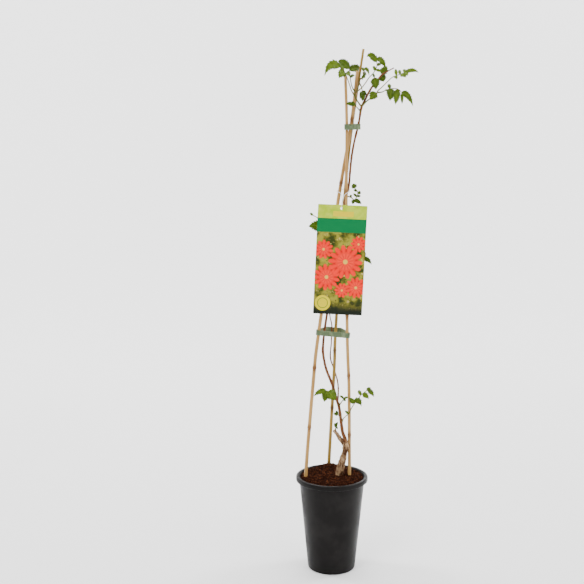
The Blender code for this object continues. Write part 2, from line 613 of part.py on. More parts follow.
def main():
    clear_scene()
    vine = make_collection("potted_trumpet_vine")
    drain_cutters = make_collection("drain_cutters")
    soil_cutters = make_collection("soil_cutters")
    make_pot(vine, drain_cutters)
    make_canes(vine, soil_cutters)
    make_woody_stem(vine, soil_cutters)
    make_soil(vine, soil_cutters)
    make_clip("clip_lower", CLIP_LOWER_CENTRE, CLIP_LOWER_CORNERS, CLIP_LOWER_TILT, vine)
    make_clip("clip_upper", CLIP_UPPER_CENTRE, CLIP_UPPER_CORNERS, 0.0, vine)
    make_tag(vine)
    make_tie(vine)
    stems = {"main_stem": along_spans(MAIN_STEM), "thin_stem": along_spans(THIN_STEM),
             "cut_stub": along_spans(smooth_route(CUT_STUB, 2))}
    for shoot, points in {"shoot_left": SHOOT_LEFT, "shoot_right": SHOOT_RIGHT}.items():
        radius = points[0][3]
        start = seat_on(stems["main_stem"], points[0][:3], points[1][:3], radius)
        route = smooth_route(((*start, radius),) + points[1:], 2)
        stems[shoot] = along_spans(route)
        tube(shoot, route, "green_shoot", vine, 1)
    for name, (stem, points, facing, leaflets) in FRONDS.items():
        make_frond(name, stems[stem], points, facing, leaflets, vine)


main()
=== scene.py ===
"""The looks of a young trumpet vine in its nursery pot: satin black plastic, crumbly peat, bamboo canes,
peeling and red-brown wood, toothed leaflets, green strip clips and a printed hang tag on a white tie.

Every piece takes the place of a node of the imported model, in the same metres.
"""

import random
from math import atan2, copysign, cos, dist, exp, hypot, pi, radians, sin, sqrt, tau

import bmesh
import bpy
import numpy as np
from mathutils import Matrix, Vector, noise


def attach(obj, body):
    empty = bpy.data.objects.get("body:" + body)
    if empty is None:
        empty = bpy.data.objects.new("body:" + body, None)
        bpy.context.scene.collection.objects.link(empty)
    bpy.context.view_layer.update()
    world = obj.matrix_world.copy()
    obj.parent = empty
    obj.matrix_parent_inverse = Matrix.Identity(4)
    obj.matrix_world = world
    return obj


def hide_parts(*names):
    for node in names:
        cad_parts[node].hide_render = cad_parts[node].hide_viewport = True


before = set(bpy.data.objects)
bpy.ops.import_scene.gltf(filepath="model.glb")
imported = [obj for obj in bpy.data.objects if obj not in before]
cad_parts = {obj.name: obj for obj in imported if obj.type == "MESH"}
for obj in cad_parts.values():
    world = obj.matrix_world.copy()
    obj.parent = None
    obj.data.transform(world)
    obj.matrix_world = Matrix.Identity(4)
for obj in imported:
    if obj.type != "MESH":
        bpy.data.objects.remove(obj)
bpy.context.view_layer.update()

MM = 0.001

# Camera: the photograph's place in metres and pitch in degrees, then lens and sensor in millimetres
CAMERA_PLACE = (-0.0779, -2.2715, 0.9701)
CAMERA_PITCH = 10.446
CAMERA_LENS, CAMERA_SENSOR = 75.0, 36.0

# Studio, in metres: the floor's reach, where it turns up, the turn's radius, the wall's top; then each
# light's name, place, target, width and power
STAGE_REACH, STAGE_TURN, STAGE_SWEEP, STAGE_TOP = 12.0, 2.4, 1.2, 5.0
AIR_BRIGHTNESS = 0.75
LIGHTS = (
    ("key light", (-1.6, -2.2, 2.6), (0, 0, 0.5), 1.6, 75),
    ("fill light", (2.2, -1.8, 1.5), (0, 0, 0.5), 1.8, 32),
    ("top light", (0.0, 0.4, 3.2), (0, 0, 0.4), 2.2, 60),
    ("left backdrop light", (-2.6, 1.2, 3.0), (-0.5, 3.6, 1.4), 1.6, 190),
    ("right backdrop light", (2.6, 1.2, 3.0), (0.5, 3.6, 1.4), 1.6, 190),
)

# Pot and soil, in millimetres; a round body ends AXIS_GAP short of its axis
AXIS_GAP = 0.05
POT_HEIGHT, POT_LIP_DEPTH = 188.0, 9.0
POT_RIM_RADIUS, POT_MOUTH_RADIUS = 70.0, 62.0
POT_BASE_RADIUS, POT_SHOULDER_RADIUS = 46.2, 63.4
POT_WALL, POT_FLOOR = 1.5, 1.8
POT_SIDES = 144
DRAIN_HOLES, DRAIN_RADIUS, DRAIN_CIRCLE, DRAIN_SIDES = 6, 4.0, 33.0, 32
SOIL_EDGE, SOIL_MOUND, SOIL_HEAP = 184.2, 4.6, 8.0
SOIL_HEAP_X, SOIL_HEAP_Y, SOIL_HEAP_WIDTH = -4.0, 45.0, 16.0
SOIL_RADIUS, SOIL_RINGS, SOIL_TINT = 61.0, 60, 0.25

# Loose bits on the soil, the seeds of their draws, and where none lies, as x, y and radius
CRUMBS, CHIPS, FIBRES = 5200, 420, 60
BIT_SEED, ROUGHNESS_SEED = 11, 5
KEPT_CLEAR = ((-51, -8, 4.4), (34.2, -2, 4.2), (-4.3, 50, 4.3), (14, 0, 9.0))

# Canes, in millimetres. A cut end's rings are share of the radius, depth, and mark: 2 is wood, 3 the hollow,
# painted near black as shade
CANE_SIDES, CANE_STEP = 28, 12
JOINTS, JOINT_SPACING = 7, 118
JOINT_STEPS = (-14, -9, -6, -4, -2.8, -2, -1.3, -0.7, 0, 0.7, 1.3, 2, 2.8, 4, 6, 9, 14)
JOINT_SWELL, JOINT_GROOVE, CANE_WANDER = 0.15, 0.07, 0.03
CUT_END = ((1.0, 0.0, 2.0), (0.93, -0.25, 2.0), (0.42, -0.25, 2.0), (0.38, 2.5, 3.0))

# Each cane's points from foot to top, its radii there, and its lowest joint's height, in millimetres
CANES = {
    "left": (((-49.3, -9, 108), (-51.2, -8, 188), (-36.8, -4, 380), (-27.4, -3, 470), (7.8, 3, 720),
              (31.5, 4, 864), (42.4, 1, 964)), (3.5, 3.1), 168),
    "right": (((35.2, -1, 82), (34.2, -2, 189), (31.9, -2, 360), (27.6, -4, 467), (23.5, -6, 721),
               (23.3, -7, 862), (19.8, -7, 957)), (3.3, 2.7), 152),
    "back": (((-5.5, 48.5, 112), (-4.3, 50, 196), (4.4, 36, 390), (6.5, 30.5, 469), (20.7, 16, 725),
              (33.8, 11.5, 862), (53.5, 9, 1004)), (3.4, 2.3), 194),
}

# Wood, as x, y, z and radius in millimetres
WOOD_SIDES, SHOOT_SIDES, WOOD_VOXEL, SMOOTHED_AWAY = 20, 16, 0.62, 0.27
WOOD_KNOBS = (((28, -11.5, 251), 6.2), ((24.2, -11.2, 246), 4.6), ((30.5, -10, 247), 4.2))
TRUNK = (
    (11, 1, 168, 6.5), (14, 0, 189, 7.4), (17.2, -4.5, 208, 6.9), (20.5, -7.5, 222, 6.1),
    (24.3, -10, 238, 4.7), (27.2, -11, 249, 4.6), (27.8, -10.6, 256, 4.4))
CUT_STUB = ((27, -10.5, 249, 4.2), (20.5, -8, 257, 4.0), (11.5, -4, 269, 3.4), (3.5, -1, 279.5, 2.8))
MAIN_STEM = (
    (28.3, -10.6, 251, 4.2), (25.2, -8.5, 263, 3.4), (19.8, -4, 278, 3.1), (15.9, 1.5, 306, 2.7),
    (12.7, 5.5, 326, 2.6), (8.4, 7, 339, 2.5), (0.7, 8, 366, 2.4), (-11.4, 9, 397, 2.3), (-16.5, 9, 419, 2.2),
    (-18.5, 9, 437, 2.1), (-16.4, 9, 466, 2.0), (-11, 9, 507, 2.0), (5, 8, 614, 1.9), (20.3, 6, 718, 1.9),
    (28.4, 7, 752, 1.9), (31, 8, 782, 1.8), (33.6, 8, 808, 1.8), (38, 6.5, 834, 1.8), (44.3, 3, 862, 1.9),
    (47.4, 1.5, 880, 1.9), (50.1, 0, 897, 2.2), (56, -1, 910, 1.9), (67.4, -3, 932.5, 1.7),
    (79.4, -4, 948, 1.5), (88, -4.5, 958, 1.3), (99.7, -5, 965, 1.0), (109.5, -5, 970, 0.8))
THIN_STEM = (
    (10.5, 6.5, 332, 1.5), (12, 20, 346, 1.4), (11.8, 37, 364, 1.3), (5, 45.5, 388, 1.2), (-3, 39, 414, 1.2),
    (-1.5, 31.5, 448, 1.1), (-1, 30.5, 480, 1.1), (-5.5, 24, 507, 1.1), (-4, 17, 560, 1.1), (0, 14, 620, 1.0),
    (2, 12.5, 668, 0.9))
SHOOTS = {
    "left": ((49, -3, 900, 1.4), (43, -6.5, 909, 1.3), (38.4, -7.5, 917, 1.4), (38.2, -7, 924, 1.3),
             (43, -4.5, 933, 1.2), (46.4, 2.4, 944, 1.1), (47.4, 4, 954, 1.0), (48.3, 4.3, 962, 0.9)),
    "right": ((52, -3, 901, 1.4), (58, -5, 908, 1.3), (64, -6.5, 913, 1.3), (71, -8, 918, 1.2),
              (77, -8.6, 923, 1.1), (79.4, -8.8, 925.6, 1.0)),
}

# Knuckles where pairs of leaves stood: distance apart, and swelling as a share of the radius
STEM_KNUCKLES, SHOOT_KNUCKLES = (62.0, 0.16), (21.0, 0.22)

# Strip clips: centre, tilt and the corners that the strip is pulled round, as x, y and radius
CLIP_HEIGHT, CLIP_WALL, CLIP_EDGE, CLIP_STEPS = 10.0, 1.1, 0.35, 160
CLIPS = {
    "lower": ((0.0, 0.0, 471.0), 5.4, ((-27.3, -3.1, 3.9), (27.6, -4.1, 4.2), (15.0, 31.5, 2.5),
                                       (-9.0, 31.5, 2.5))),
    "upper": ((32.0, 3.0, 862.5), 0.0, ((-8.7, -10.0, 3.7), (-0.8, -13.5, 1.0), (12.6, 0.0, 3.7),
                                        (3.0, 12.5, 2.2), (1.8, 8.5, 3.4))),
}

# Hang tag, in millimetres from its punched hole, and the tie's closed route
TAG_LEFT, TAG_RIGHT, TAG_TOP, TAG_BOTTOM = -44.0, 48.0, 6.4, -200.0
TAG_WIDTH, TAG_HEIGHT = TAG_RIGHT - TAG_LEFT, TAG_TOP - TAG_BOTTOM
TAG_THICKNESS, TAG_CORNER, TAG_HOLE_RADIUS, TAG_HOLE_SIDES = 0.6, 1.2, 2.5, 40
TAG_CUTS, TAG_BOW, TAG_BOW_REACH, TAG_BOW_START = 12, 0.7, 46, 60
TAG_HOLE_PLACE = (14.6, -13.5, 712.3)
TAG_ROLL, TAG_LEAN = 2.6, -3.0
TIE_RADIUS, TIE_SIDES, TIE_STEPS = 0.55, 12, 6
TIE_ROUTE = (
    (14.6, -13.5, 713.1), (14.6, -14.5, 713.5), (14.6, -15.2, 715.5), (14.9, -15.4, 719.5),
    (15.6, -13.8, 728), (14.2, -9.0, 737.5), (10.6, -2.9, 741), (6.2, 2.2, 742), (8.2, 8.5, 743.5),
    (15.0, 16.0, 744.5), (21.8, 19.6, 745), (26.6, 15.8, 745), (29.8, 9.2, 745), (29.6, 1.0, 744.5),
    (28.8, -7.2, 743), (24.4, -11.3, 741), (19.2, -11.4, 736), (16.8, -11.6, 727), (15.0, -12.0, 719.5),
    (14.6, -12.0, 715.5), (14.6, -12.6, 713.5))

# The tag's print, in millimetres from its lower left corner; blossoms as centre, radius, petals and turn
BAND_FEET = (155.0, 181.0)
LABEL_CENTRE, LABEL_HALF = (48.0, 189.5), (19.0, 4.6)
BADGE_CENTRE, BADGE_RADIUS, BADGE_RING = (17.0, 21.0), 15.0, (9.0, 9.8)
BLOSSOMS = (
    ((79.0, 134.0), 15.0, 10, 0.4), ((14.0, 122.0), 18.0, 11, 0.9), ((78.0, 52.0), 20.0, 12, 0.7),
    ((22.0, 70.0), 25.0, 13, 1.3), ((56.0, 100.0), 32.0, 14, 0.2), ((52.0, 46.0), 14.0, 10, 0.1))

# Leaves, in millimetres and in shares of the blade's length or half width
BLADE_THICKNESS = 0.45
BLADE_FULLNESS, BLADE_TAPER = 0.55, 0.58
BLADE_CREST_PLACE = 0.65
BLADE_KEEL, BLADE_DROOP, BLADE_WAVE, BLADE_TWIST = 0.3, 0.12, 0.16, 9
TIP_START, TIP_RISE, TIP_DRAWN = 0.68, 0.2, 0.18
TOOTH_FOOT, TOOTH_RISE, TOOTH_LEAN, STEPS_PER_TOOTH = 0.92, 0.40, 0.55, 4
LEAST_HALF_WIDTH = 0.35
LEAF_SEED, SHADE_AND_AGE_SPREAD = 7, 0.22
STALK_RADII, STALK_SWELL, STALK_SIDES, STALK_STEPS = (1.05, 0.75), 0.45, 12, 6
STALK_SEAT = 0.85
UNDER_SIDE, STALK = 1, 2

# Points closer than this are welded, in metres
BLADE_WELD, TAG_WELD = 0.000005, 0.00001

# Leaves: stalk points; how far the blades face right and up; how dark the leaf is with painted shade and age,
# from 0 for fresh and lit to 1 for old and shaded; and leaflets as place along the stalk, x, y and z of the
# tip from there, width and arch
FRONDS = {
    "crown_left": (
        ((35, -10, 919.5), (31, -13, 929), (27.5, -15, 939), (23, -18, 951), (19, -22, 960), (15.5, -25, 966),
         (8.5, -28, 971)),
        (0.15, 0.3), 0.0,
        ((0.99, -28, -12, -15, 14, 12), (0.72, -11, -12, -11, 14, 3), (0.63, 6, -16, -4, 10, 3),
         (0.8, -8, 10, 9, 5, 2))),
    "crown_rear": (
        ((36, -5.5, 927), (32.5, -1, 936), (30, 5, 948), (28.5, 9, 960), (28, 10, 968)),
        (-0.2, 0.25), 0.75,
        ((1.0, -21, 8, 13, 13, 4), (0.88, 22, 13, 3, 13, 3), (0.6, 8, -11, 3, 5, 1))),
    "crown_small": (
        ((50, 2, 949), (52, 0, 954), (54, -1, 962), (55, -2, 967)),
        (0.3, 0.3), 0.5,
        ((1.0, 9, -1, -12, 6, 6), (0.7, -3, 8, 8, 5, 1), (0.45, 6, 10, 4, 7, 1), (0.2, 6, -8, 0, 8, 1))),
    "fork_dark": (
        ((49.5, 1.5, 940), (50, -0.5, 935), (51, -3, 930), (52, -4, 926)),
        (0, 0.2), 0.8,
        ((1.0, 0, -4, -17, 9, 1), (0.85, -5, -8, -13, 6, 1), (0.8, 8, 5, -9, 6, 1))),
    "upper": (
        ((42, -9, 925), (49, -10, 933), (57, -9.5, 943), (63, -8, 952), (70, -6, 959), (75, -4, 966),
         (78, -2, 974), (77, 0, 984)),
        (0.1, 0.35), 0.2,
        ((0.94, -19, -8, 9, 11, 6), (0.99, 18, 7, -17, 10, 8), (0.68, -2, 6, 9, 5, 1), (0.85, 9, 11, 4, 5, 1),
         (0.72, 13, -5, -5, 5, 1))),
    "stem_pair": (
        ((74, -7, 946), (73.5, -9.5, 949), (73, -10, 953)),
        (0.1, 0.15), 0.55,
        ((0.9, 3, 0, -22, 14, 1), (0.95, -3, -1, 7, 4, 0))),
    "stem_rear": (
        ((84, -1, 956), (87, 3, 958)),
        (0.1, 0.3), 0.45,
        ((0.95, 10, -1, 15, 12, 0), (0.55, 5, 1, -12, 13, 0))),
    "bract": (
        ((75.5, -11, 922), (76, -14, 926)),
        (0, 0.4), 0.35,
        ((0.9, -10, -1, -14, 14, 1),)),
    "right_long": (
        ((78, -8.8, 927.2), (80.5, -9, 929.5), (86, -9.5, 934), (92, -10, 940), (99, -11, 947),
         (106, -12, 953), (116, -13, 957), (125, -13, 960), (129, -13, 962)),
        (0, 0.45), 0.1,
        ((1.0, 24, -3, -1, 7, 4), (0.95, 5, -11, -6, 7, 1), (0.81, 9, -11, -6, 9, 1),
         (0.68, 3, -10, -6, 6, 1), (0.71, -1, 6, 12, 5, 1), (0.79, 0, 9, 8, 5, 1), (0.92, 3, 10, 6, 6, 1))),
    "right_hanging": (
        ((82.4, -11.4, 923.5), (88, -12, 926.5), (94, -13, 929.5), (104, -15, 932.5), (116, -19, 931.5),
         (123, -22, 924.5)),
        (0.1, 0.15), 0.5,
        ((0.6, -3, -7, -22, 14, 1), (0.54, -1, 6, 9, 6, 1), (0.45, -3, -8, -2, 5, 0),
         (0.78, -4, -6, -28, 11, 1), (0.98, 1, 2, -20, 5, 0), (0.95, 21, -6, -25, 10, 7))),
    "fork_left": (
        ((46, -5, 891), (42, -8.5, 898), (37, -11, 902)),
        (0, 0.3), 0.6,
        ((1.0, -16, -4, 2, 7, 2), (0.75, -8, -3, 9, 4, 1))),
    "above_tag": (
        ((28.5, 8.5, 733), (33.5, 10, 730), (39, 8, 726), (44, 7, 732), (45, 6, 741), (40, 5, 748)),
        (0, 0.2), 0.7,
        ((1.0, -4, -2, 9, 9, 0), (0.8, 6, -4, -3, 6, 0), (0.83, -7, 2, 3, 4, 0), (0.6, -7, 3, 6, 4, 0),
         (0.62, 7, -3, 1, 4, 0), (0.35, -2, -6, -8, 6, 0), (0.42, 13, -4, -8, 7, 1), (0.15, 3, 4, 4, 4, 0))),
    "mid_left": (
        ((0, 10, 662), (-7, 7, 666), (-15, 4, 674), (-23, 0, 684), (-31, -1, 693.5), (-39, -2, 698)),
        (0, 0.2), 0.65,
        ((0.98, -6, -1, 5, 4, 0), (0.42, -31, -7, 2, 18, 2), (0.15, -6, -3, 21, 12, 1),
         (0.27, -11, -6, -16, 12, 1))),
    "mid_right": (
        ((21, 7, 588), (36, 5, 597), (49, 0, 611), (56, -3, 616)),
        (0, 0.3), 0.75,
        ((1.0, 16, -4, -11, 8, 4), (0.85, 6, 4, 15, 9, 1), (0.65, 7, -5, -13, 10, 1))),
    "low_left": (
        ((9, 2.5, 343), (2, -1, 351), (-7, -3, 357), (-12, -4, 359)),
        (0, 0.3), 0.35,
        ((1.0, -24, -9, -9, 9, 4), (0.9, -5, -8, -20, 13, 1), (0.75, 14, -12, -15, 18, 1))),
    "low_right": (
        ((20.5, -2, 297), (22, -6, 305), (32, -10.5, 316), (37, -11, 327), (44, -11, 338), (54, -10, 351),
         (62, -9, 358), (68, -9, 362)),
        (0, 0.35), 0.4,
        ((0.56, 12, -4, -7, 11, 8), (0.54, -11, -5, 12, 8, 1), (0.72, -5, 4, 9, 6, 1),
         (0.77, 12, -5, -9, 9, 2), (0.98, 12, -4, -13, 8, 3), (0.92, 9, 8, 3, 6, 1),
         (0.26, -7, -5, 8, 4, 1))),
    "low_inner": (
        ((15.5, 3, 329), (19, 0, 337), (22, -4, 343)),
        (0, 0.3), 0.5,
        ((1.0, 8, -8, 5, 4, 1), (1.0, -9, -4, 7, 4, 1), (0.75, 5, -7, -1, 4, 1))),
    "stem_bud": (
        ((12, 0.5, 308), (10, -1, 311)),
        (0, 0.3), 0.8,
        ((0.6, -9, -5, 3, 6, 1), (0.9, -3, -2, 8, 4, 1))),
    "stub_sprout": (
        ((8, -4, 281), (6.5, -4.5, 287)),
        (0, 0.2), 0.8,
        ((1.0, 4, -4, 11, 4, 1), (0.8, -2, 2, 8, 4, 1), (0.9, 4, -7, -2, 4, 1))),
}
STEMS_OF_FRONDS = {
    "left": ("crown_left", "crown_rear", "crown_small", "fork_dark", "upper"),
    "right": ("bract", "right_long", "right_hanging"),
    "thin": ("mid_left",),
    "stub": ("stub_sprout",),
}


def operator(operation, turned=False):
    """A method that adds a Math node; turned takes the other value first."""
    def method(self, other):
        return self.math(operation, *((other, self) if turned else (self, other)))
    return method


class Wire:
    """One value in a material's nodes. Python's operators on it add Math nodes."""

    def __init__(self, tree, socket=None):
        self.tree = tree
        self.socket = socket

    def node(self, kind, settings=None, sockets=None, out=0):
        """Adds a shader node: its settings first, then the values or links of its sockets."""
        node = self.tree.nodes.new("ShaderNode" + kind)
        for name, value in (settings or {}).items():
            setattr(node, name, value)
        for name, value in (sockets or {}).items():
            if isinstance(value, Wire):
                self.tree.links.new(value.socket, node.inputs[name])
            else:
                node.inputs[name].default_value = value
        return Wire(self.tree, node.outputs[out])

    def math(self, operation, *values):
        return self.node("Math", {"operation": operation}, dict(enumerate(values)))

    __add__, __radd__ = operator("ADD"), operator("ADD", True)
    __sub__, __rsub__ = operator("SUBTRACT"), operator("SUBTRACT", True)
    __mul__, __rmul__ = operator("MULTIPLY"), operator("MULTIPLY", True)
    __truediv__, __pow__ = operator("DIVIDE"), operator("POWER")
    lesser, greater = operator("MINIMUM"), operator("MAXIMUM")

    def __abs__(self):
        return self.math("ABSOLUTE", self)

    def fraction(self):
        return self.math("FRACT", self)

    def rise(self, low, high):
        """0 below low, 1 above high, smooth between."""
        return self.node("MapRange", {"interpolation_type": "SMOOTHSTEP"},
                         {"Value": self, "From Min": low, "From Max": high})

    def colour(self, low, high):
        """The colour between two others, by this value from 0 to 1."""
        low, high = (value if isinstance(value, Wire) else (*value, 1.0) for value in (low, high))
        return self.node("Mix", {"data_type": "RGBA"}, {0: self, 6: low, 7: high}, 2)

    def split(self):
        """The three numbers of a vector."""
        first = self.node("SeparateXYZ", None, {0: self})
        return [Wire(self.tree, socket) for socket in first.socket.node.outputs]

    def scaled(self, factors):
        return self.node("VectorMath", {"operation": "MULTIPLY"}, {0: self, 1: factors})

    def drawn_out(self, share):
        """Draws a pattern out upwards, the longer the smaller the share."""
        return self.scaled((1.0, 1.0, share))

    def cloud(self, scale, detail=3.0, roughness=0.55):
        """Soft noise from about 0.3 to 0.7 over a place."""
        return self.node("TexNoise", None,
                         {"Vector": self, "Scale": scale, "Detail": detail, "Roughness": roughness})

    def cells(self, scale):
        return self.node("TexVoronoi", None, {"Vector": self, "Scale": scale})


class Finish:
    """A material with one Principled shader, painted from expressions."""

    def __init__(self, name, specular):
        self.material = bpy.data.materials.new(name)
        self.material.use_nodes = True
        self.tree = self.material.node_tree
        self.shader = self.tree.nodes["Principled BSDF"]
        self.shader.inputs["Specular IOR Level"].default_value = specular
        self.start = Wire(self.tree)

    def place(self):
        return self.start.node("TexCoord", out="Object")

    def strip(self):
        """Across and along the surface, as the mesh's own map gives them."""
        return self.start.node("UVMap", {"uv_map": "strip"})

    def mark(self, name="mark"):
        return self.start.node("Attribute", {"attribute_name": name}, out="Fac")

    def paint(self, colour, roughness, relief=None, depth=0.0):
        """Colour and roughness, and a relief whose depth is in millimetres."""
        self.tree.links.new(colour.socket, self.shader.inputs["Base Color"])
        self.tree.links.new(roughness.socket, self.shader.inputs["Roughness"])
        if relief is not None:
            bump = self.start.node("Bump", None,
                                   {"Strength": 1.0, "Distance": depth * MM, "Height": relief})
            self.tree.links.new(bump.socket, self.shader.inputs["Normal"])
        return self


def black_pot_plastic():
    finish = Finish("satin black plastic", 0.10)
    place = finish.place()
    haze = place.cloud(22.0, 5.0, 0.6).rise(0.42, 0.72)
    scuffs = place.drawn_out(0.12).cloud(420.0, 3.0).rise(0.6, 0.78)
    dust = haze * 0.55 + scuffs * 0.35
    grain = place.cloud(1500.0, 2.0)
    return finish.paint(dust.colour((0.0038, 0.0031, 0.0029), (0.014, 0.0125, 0.012)),
                        0.34 + haze * 0.2 + scuffs * 0.12, grain + haze * 0.6, 0.05)


def peat_crumb():
    finish = Finish("peat and bark crumbs", 0.05)
    place, tint = finish.place(), finish.mark()
    fine = place.cloud(900.0, 4.0, 0.65)
    dark = fine.colour((0.005, 0.0012, 0.0005), (0.027, 0.0070, 0.0025))
    warm = fine.colour((0.024, 0.0065, 0.0026), (0.14, 0.044, 0.017))
    return finish.paint(tint.rise(0.35, 1.0).colour(dark, warm), 0.8 + fine * 0.3, fine, 0.35)


def bamboo(name, pale, deep, stain):
    """Streaks along the cane, a stain at every joint, specks, and a pale cut end with painted shade in its
    hollow.
    """
    finish = Finish(name, 0.25)
    place, ring = finish.place(), finish.mark()
    joint = ring.lesser(1.0)
    streak = place.drawn_out(0.035).cloud(1300.0, 3.0)
    patch = place.drawn_out(0.22).cloud(75.0, 4.0)
    specks = place.drawn_out(0.35).cloud(900.0, 2.0).rise(0.66, 0.76)
    skin = (streak.rise(0.3, 0.75) * 0.5 + patch.rise(0.36, 0.66) * 0.5).colour(pale, deep)
    skin = (specks * 0.35).colour(skin, stain)
    skin = (joint * (0.45 + patch * 0.6)).colour(skin, stain)
    skin = ring.rise(1.5, 1.9).colour(skin, (0.42, 0.27, 0.11))
    # Painted shade: the shallow hollow at the cut end is painted near black, as a deep hole looks
    skin = ring.rise(2.5, 2.9).colour(skin, (0.03, 0.012, 0.005))
    return finish.paint(skin, 0.36 + patch * 0.22 + joint * 0.2, streak + joint * 0.4, 0.12)


def vine_wood():
    """Peeling beige bark on the trunk and stub, red-brown skin with pale lenticels on the stem."""
    finish = Finish("vine wood", 0.15)
    place, young = finish.place(), finish.mark("young")
    fibre = place.drawn_out(0.13).cloud(620.0, 5.0, 0.62)
    patch = place.drawn_out(0.4).cloud(150.0, 4.0)
    peel = (fibre * 0.55 + patch * 0.45).rise(0.44, 0.60)
    bark = peel.colour((0.055, 0.020, 0.007), (0.40, 0.255, 0.135))
    bark = fibre.rise(0.60, 0.72).colour(bark, (0.54, 0.39, 0.235))
    streak = place.drawn_out(0.06).cloud(900.0, 3.0)
    skin = streak.rise(0.35, 0.7).colour((0.065, 0.018, 0.005), (0.200, 0.068, 0.020))
    skin = (patch.rise(0.56, 0.68) * 0.5).colour(skin, (0.21, 0.095, 0.036))
    lenticel = place.drawn_out(0.55).cells(420.0).rise(0.10, 0.22)
    skin = lenticel.colour((0.27, 0.15, 0.075), skin)
    colour = young.colour(bark, skin)
    return finish.paint(colour, 0.85 - young * 0.33, fibre * (1.0 - young * 0.75) + patch * 0.3, 0.7)


def green_stalk():
    finish = Finish("green stalk", 0.15)
    place = finish.place()
    patch = place.drawn_out(0.3).cloud(220.0, 3.0)
    return finish.paint(patch.rise(0.4, 0.62).colour((0.055, 0.080, 0.005), (0.13, 0.085, 0.015)),
                        0.42 + patch * 0.2, patch, 0.08)


def darker(colour, share):
    return tuple(value * share for value in colour)


def leaf_side(name, fresh_and_lit, old, vein, roughness):
    """A leaflet's skin with its midrib, side veins and blotches; its darkness, painted shade and age
    together, is set on each leaflet.
    """
    finish = Finish(name, 0.16)
    across, along, _ = finish.strip().split()
    shade_and_age, place = finish.mark("shade_and_age"), finish.place()
    side = abs(across * 2.0 - 1.0)
    midrib = 1.0 - side.rise(0.02, 0.10)
    comb = abs((along * 9.0 - side * 2.6).fraction() - 0.5) * 2.0
    veins = (1.0 - comb.rise(0.03, 0.22)) * (1.0 - side.rise(0.75, 1.0))
    blotch = place.cloud(160.0, 4.0)
    # Darker leaflets: painted shade on low, inner and rear leaves, and their age
    skin = shade_and_age.colour(fresh_and_lit, old)
    skin = (blotch.rise(0.36, 0.68) * 0.5).colour(skin, darker(old, 0.55))
    skin = (side.rise(0.55, 1.0) * 0.22).colour(skin, darker(old, 0.7))
    skin = (midrib.greater(veins * 0.45) * 0.5).colour(skin, vein)
    relief = comb.rise(0.0, 0.5) * 0.6 - midrib * 0.8 + blotch * 0.5
    return finish.paint(skin, roughness + blotch * 0.16, relief, 0.35)


def clip_green():
    finish = Finish("sage green strip", 0.2)
    place = finish.place()
    grain = place.drawn_out(0.2).cloud(380.0, 4.0)
    worn = place.cloud(90.0, 3.0).rise(0.4, 0.7)
    colour = (grain * 0.6 + worn * 0.4).rise(0.3, 0.75).colour((0.085, 0.120, 0.060), (0.165, 0.210, 0.110))
    return finish.paint(colour, 0.42 + grain * 0.2, grain, 0.08)


def white_cord():
    finish = Finish("white tie", 0.2)
    across, along, _ = finish.strip().split()
    twist = (across * 2.0 + along * 420.0).fraction()
    ridge = abs(twist - 0.5) * 2.0
    # Painted shade: the grooves between the twist's strands are painted darker grey
    return finish.paint(ridge.colour((0.86, 0.85, 0.81), (0.62, 0.61, 0.57)), 0.55 + ridge * 0.1, ridge, 0.12)


def distance(x, y, centre):
    across, up = x - centre[0], y - centre[1]
    return (across * across + up * up) ** 0.5


def blossom(x, y, centre, size, petals, turn):
    """Whether a point is in a printed blossom, its inner petals and its heart, and the petals' shade."""
    across, up = x - centre[0], y - centre[1]
    reach = distance(x, y, centre)
    wave = across.math("ARCTAN2", up, across) * (petals / 2) + turn
    lobe = abs(wave.math("COSINE", wave))
    edge = size * (0.72 + lobe * 0.28)
    inside = 1.0 - (reach - edge).rise(-0.5, 0.5)
    inner = 1.0 - (reach - size * (0.46 + (1.0 - lobe) * 0.16)).rise(-0.8, 0.8)
    heart = 1.0 - reach.rise(size * 0.10, size * 0.17)
    shade = (lobe * 0.6 + reach / size * 0.4).rise(0.1, 0.95)
    return inside, inner, heart, shade


